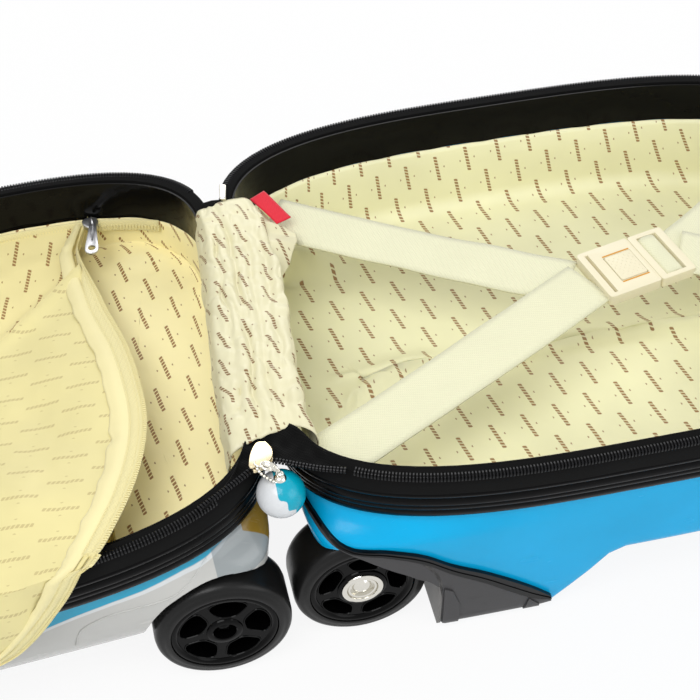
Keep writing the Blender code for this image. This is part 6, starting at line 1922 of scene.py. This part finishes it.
def make_ball(finish):
    """The pendant's ball, slightly swollen, with a groove between its two colours."""
    centre = np.array([*CHARM_AT, -CHARM_DROP])
    heights = np.linspace(-math.pi / 2, math.pi / 2, 49)[1:-1, None]
    angles = full_turn(96)
    swell = CHARM_RADIUS * (1 + 0.006 * np.sin(3 * heights))
    out = swell * np.cos(heights)
    grid = centre + np.stack(
        [out * np.cos(angles), out * np.sin(angles), swell * np.sin(heights) + 0 * angles], 2
    )
    level = (grid - centre) @ np.array([0.85, 0.0, 0.55]) - 3.2 * MM
    level += np.sin((grid[:, :, 2] - grid[:, :, 0]) * PENDANT_WAVES) * 1.1 * MM
    groove = 1 - 0.022 * np.exp(-((level / (0.35 * MM)) ** 2))
    grid = centre + (grid - centre) * groove[:, :, None] + np.array(HINGE)
    hold = {"stands_for": ["charm_ball"], "slot": "teal_plastic", "sharp": 60}
    piece("pendant_ball", grid.reshape(-1, 3), capped_faces(*grid.shape[:2]), finish, "charm", **hold)


def make_beads(finish):
    """The bead chain from the slider's ring down to the pendant."""
    points = []
    faces = []
    rows, columns, radius = 7, 12, 0.95
    for bead_x, bead_y, bead_z in smooth_line(CHARM_BEADS, 9):
        faces += capped_faces(rows, columns, len(points))
        for height in np.linspace(-math.pi / 2, math.pi / 2, rows + 2)[1:-1]:
            flat = radius * math.cos(height)
            z = bead_z + radius * math.sin(height)
            for angle in full_turn(columns):
                x = bead_x + flat * math.cos(angle)
                points.append((x * MM, (bead_y + flat * math.sin(angle)) * MM, z * MM))
    piece("bead_chain", points, faces, finish, "charm", "back", slot="chrome", sharp=60)


def make_charm(finish):
    """A lobster clasp, its rings and beads, and a plain two-tone ball with a cap."""
    make_ball(finish["pendant"])
    chrome = finish["chrome"]
    x, y = CHARM_AT
    top = CHARM_RADIUS - CHARM_DROP
    cap = [(ON_AXIS, 1.6), (1.6, 1.5), (2.6, 0.9), (3.3, 0.0), (3.6, -1.0), (ON_AXIS, -1.0)]
    radii, heights = np.array(cap).T * MM
    turns = full_turn(32)[:, None]
    grid = np.stack([x + np.cos(turns) * radii, y + np.sin(turns) * radii, 0 * turns + top + heights], 2)
    grid_piece("pendant_cap", grid, chrome, "charm", "back", wrap=(True, True), slot="chrome")
    loop = ring_path((x, y, top + 3.0 * MM), 1.9 * MM, (0.4, 1, 0))
    tube("pendant_loop", loop, 0.45 * MM, chrome, "charm", "chrome", True)
    ring = ring_path((x - 1.0 * MM, y + 0.6 * MM, top + 6.0 * MM), 2.2 * MM, (1, 0.5, 0.3))
    tube("clasp_ring", ring, 0.5 * MM, chrome, "charm", "chrome", True)
    share = np.linspace(0, 1, 24)
    body = smooth_line(CLASP_BODY, 24) * MM
    radii = (0.7 + 1.3 * np.sin(math.pi * share) ** 0.7) * MM
    tube("clasp_body", body, radii, chrome, "charm", "chrome", stands_for=["charm_clasp"])
    tube(
        "clasp_hook", smooth_line(CLASP_HOOK, 24) * MM, (0.85 - 0.3 * share) * MM, chrome, "charm", "chrome"
    )
    ring = ring_path((-11.2 * MM, -121.4 * MM, 5.2 * MM), 2.3 * MM, (0.3, 0.2, 1))
    tube("slider_ring", ring, 0.5 * MM, chrome, "back_half", "chrome", True)
    make_beads(chrome)


def make_divider_slider(finish):
    """The divider's slider on the wall zip, with a long pull that has a round eye."""
    body = smooth_line(DIVIDER_SLIDER + DIVIDER_SLIDER[:1], 40)[:-1]
    made = plate("divider_slider_body", body, -36.6, -32.4)
    made.data.transform(PLACE["back"])
    made.matrix_world = PLACE["world"]
    show_solid(made, finish, "front_half", ["divider_slider"], "chrome", 1.0 * MM)
    root = np.array([-71.0, 127.0])
    along = unit(np.array([-3.0, -20.0]))
    across = np.array([-along[1], along[0]])
    shape = [(-1.3, 2.2), (6.5, 2.5), (15.6, 3.4), (23.4, 4.1), (27.3, 3.4), (29.1, 0)]
    shape = smooth_line(shape + [(a, -b) for a, b in shape[-2::-1]] + shape[:1], 60)[:-1]
    made = plate("divider_slider_pull", [root + along * a + across * b for a, b in shape], -32.2, -30.8)
    cuts = []
    for name, start, long, wide, low in (
        ("eye_tool", 23.7, 2.2, 2.2, -34), ("groove_tool", 10.4, 6.5, 1.0, -31.3)
    ):
        turns = full_turn(32)[:, None]
        hole = root + along * (start + long * np.cos(turns)) + across * wide * np.sin(turns)
        cuts.append(plate(name, hole, low, -29))
    boolean(made, cuts, solver="EXACT")
    show_solid(made, finish, "front_half", (), "chrome", 0.35 * MM)
    tube("divider_slider_bow", smooth_line(DIVIDER_BOW, 20) * MM, 0.75 * MM, finish, "front_half", "chrome")


def make_shell_lines(finish):
    """The moulded contour beside each front wheel arch."""
    for side, word in ((-1, "near"), (1, "far")):
        line = smooth_line(SHELL_GROOVE, 80) * MM
        path = []
        for x, z in line:
            drop = -z
            rim = np.interp(-x, ARCH_RIM[RIM_SIDE, 0], ARCH_RIM[RIM_SIDE, 1])
            wide = np.interp(-x, RIM[RIM_SIDE, 0], RIM[RIM_SIDE, 1])
            share = float(smoothstep((drop - ARCH_START) / (ARCH_FULL - ARCH_START)))
            y = wide + (rim - wide) * share - float(wall_inset(drop, 0.0))
            path.append((x, side * (y + 0.05 * MM), z))
        tube(
            f"front_{word}_shell_line", path, 0.5 * MM, finish["white"], "front_half", "white_shell",
            half="front", steps=8,
        )


def recolor(finish):
    """Gives the frame's own nodes that stay visible their procedural finishes."""
    looks = {
        "black": ("handle_bezel", "handle_foot", "handle_grip", "carry_handle", "carry_handle_base"),
        "fender": ("handle_button", "battery_pack"),
        "steel": ("back_near_stub_axle", "back_far_stub_axle", "front_near_motor", "front_far_motor"),
        "brass": ("front_near_drive_gear", "front_far_drive_gear", "front_near_pinion", "front_far_pinion"),
        "board": ("control_board",),
    }
    tubes = [
        f"handle_{side}_{stage}_tube" for side in ("near", "far") for stage in ("outer", "mid", "inner")
    ]
    looks["aluminium"] = tuple(tubes)
    for look, names in looks.items():
        for name in names:
            node = NODES[name]
            node.data.materials.clear()
            node.data.materials.append(finish[look])


def make_finishes():
    """All the materials, by the word that the pieces call them."""
    brown = (0.27, 0.12, 0.02)
    graphs = {
        "blue": plastic("blue_shell_finish", (0.0005, 0.385, 0.72), 0.16, 0.0, 700.0, 0.02, gleam=0.2),
        "white": front_shell_finish(),
        "black": plastic("black_plastic_finish", (0.004, 0.004, 0.0042), 0.26, gleam=0.15),
        "channel": plastic("channel_finish", (0.003, 0.003, 0.0032), 0.2, relief=0.05, gleam=0.06),
        "gloss": plastic("gloss_strip_finish", (0.003, 0.003, 0.0035), 0.14, gleam=0.2),
        "band": plastic("rim_band_finish", (0.003, 0.003, 0.003), 0.1, 0.0, 260.0, 0.3, gleam=0.1),
        "hub": plastic("hub_finish", (0.0012, 0.0012, 0.0013), 0.11, gleam=0.09),
        "rubber": plastic("tyre_finish", (0.008, 0.008, 0.008), 0.32, 0.0, 900.0, 0.1, gleam=0.2),
        "fender": plastic("fender_finish", (0.045, 0.044, 0.046), 0.36, 0.0, 1500.0, 0.1, gleam=0.25),
        "liner": plastic("liner_finish", (0.16, 0.155, 0.15), 0.45, 0.0, 1500.0, 0.1, gleam=0.25),
        "ivory": plastic("ivory_finish", (0.78, 0.72, 0.52), 0.36, variation=0.03, gleam=0.3),
        # Painted shade for the buckle's side slots, orange-brown as light through the ivory plastic.
        "slot_shade": plastic("slot_shade_finish", (0.62, 0.30, 0.05), 0.5, gleam=0.2),
        "board": plastic("board_finish", (0.02, 0.16, 0.06), 0.4),
        "pendant": pendant_finish(),
        "chrome": metal("chrome_finish", (0.72, 0.70, 0.64), 0.12),
        "pale_gold": metal("pale_gold_finish", (0.90, 0.76, 0.50), 0.22),
        "steel": metal("steel_finish", (0.50, 0.50, 0.51), 0.3),
        "aluminium": metal("aluminium_finish", (0.68, 0.68, 0.70), 0.28, 0.12),
        "brass": metal("brass_finish", (0.66, 0.48, 0.20), 0.3),
        "back_lining": cloth("back_lining_finish", (0.86, 0.84, 0.55), brown, 0.92, -0.2),
        # The front lining's base colour is lifted almost to full brightness to offset the shade in the deep
        # front half: painted light.
        "front_lining": cloth("front_lining_finish", (0.98, 0.88, 0.48), brown, 0.95, 0.15),
        # The hinge cloth's base colour is darker than the same cloth in the back lining, to offset the
        # strong light on top: painted shade.
        "gusset": cloth(
            "gusset_finish", (0.72, 0.68, 0.45), (0.18, 0.08, 0.015), 0.95, -0.28, 0.8, 0.4, 0.1
        ),
        "flap": flap_finish(),
        "facing": cloth("facing_finish", (0.80, 0.72, 0.38)),
        "flap_tape": webbing("flap_tape_finish", (0.78, 0.70, 0.36)),
        "webbing": webbing("webbing_finish", (0.78, 0.77, 0.54)),
        "label": webbing("label_finish", (0.70, 0.008, 0.03)),
        "tape": webbing("zip_tape_finish", (0.003, 0.003, 0.003), 0.06),
        "coil": plastic("zip_coil_finish", (0.005, 0.005, 0.006), 0.26, gleam=0.18),
    }
    return {look: graph.owner for look, graph in graphs.items()}


set_camera()
make_stage()
FINISH = make_finishes()
recolor(FINISH)
make_shell("back", 1, back_depth_at, BACK_EDGE_RADIUS, BACK_WHEEL_FACE, FINISH["blue"], False)
make_shell("front", -1, front_depth_at, FRONT_EDGE_RADIUS, FRONT_WHEEL_FACE, FINISH["white"], True)
for half_name, half_direction in (("back", 1), ("front", -1)):
    make_channel(half_name, half_direction, FINISH["channel"])
    make_zip(half_name, half_direction, FINISH["tape"], FINISH["coil"])
    make_band(half_name, half_direction, FINISH["band"])
make_lining("back", 1, BACK_LINING_DEPTH, BACK_LINING_RADIUS, FINISH["back_lining"], "cream_fabric")
make_lining("front", -1, FRONT_LINING_DEPTH, FRONT_EDGE_RADIUS, FINISH["front_lining"], "yellow_fabric")
for wheel in ("back_near", "back_far", "front_near", "front_far"):
    make_wheel(wheel, FINISH)
for wheel in ("back_near", "back_far"):
    make_bearing(wheel, FINISH)
for end in ("near", "far"):
    make_fender(end, FINISH)
make_straps(FINISH)
make_buckle(FINISH)
make_gusset(FINISH)
make_hinge_tapes(FINISH)
make_flap(FINISH)
make_wall_zip(FINISH["flap_tape"])
make_label(FINISH["label"])
make_corner_fold(FINISH["gusset"])
make_end_box(FINISH["chrome"])
make_slider(FINISH["pale_gold"])
make_charm(FINISH)
make_divider_slider(FINISH["steel"])
make_shell_lines(FINISH)
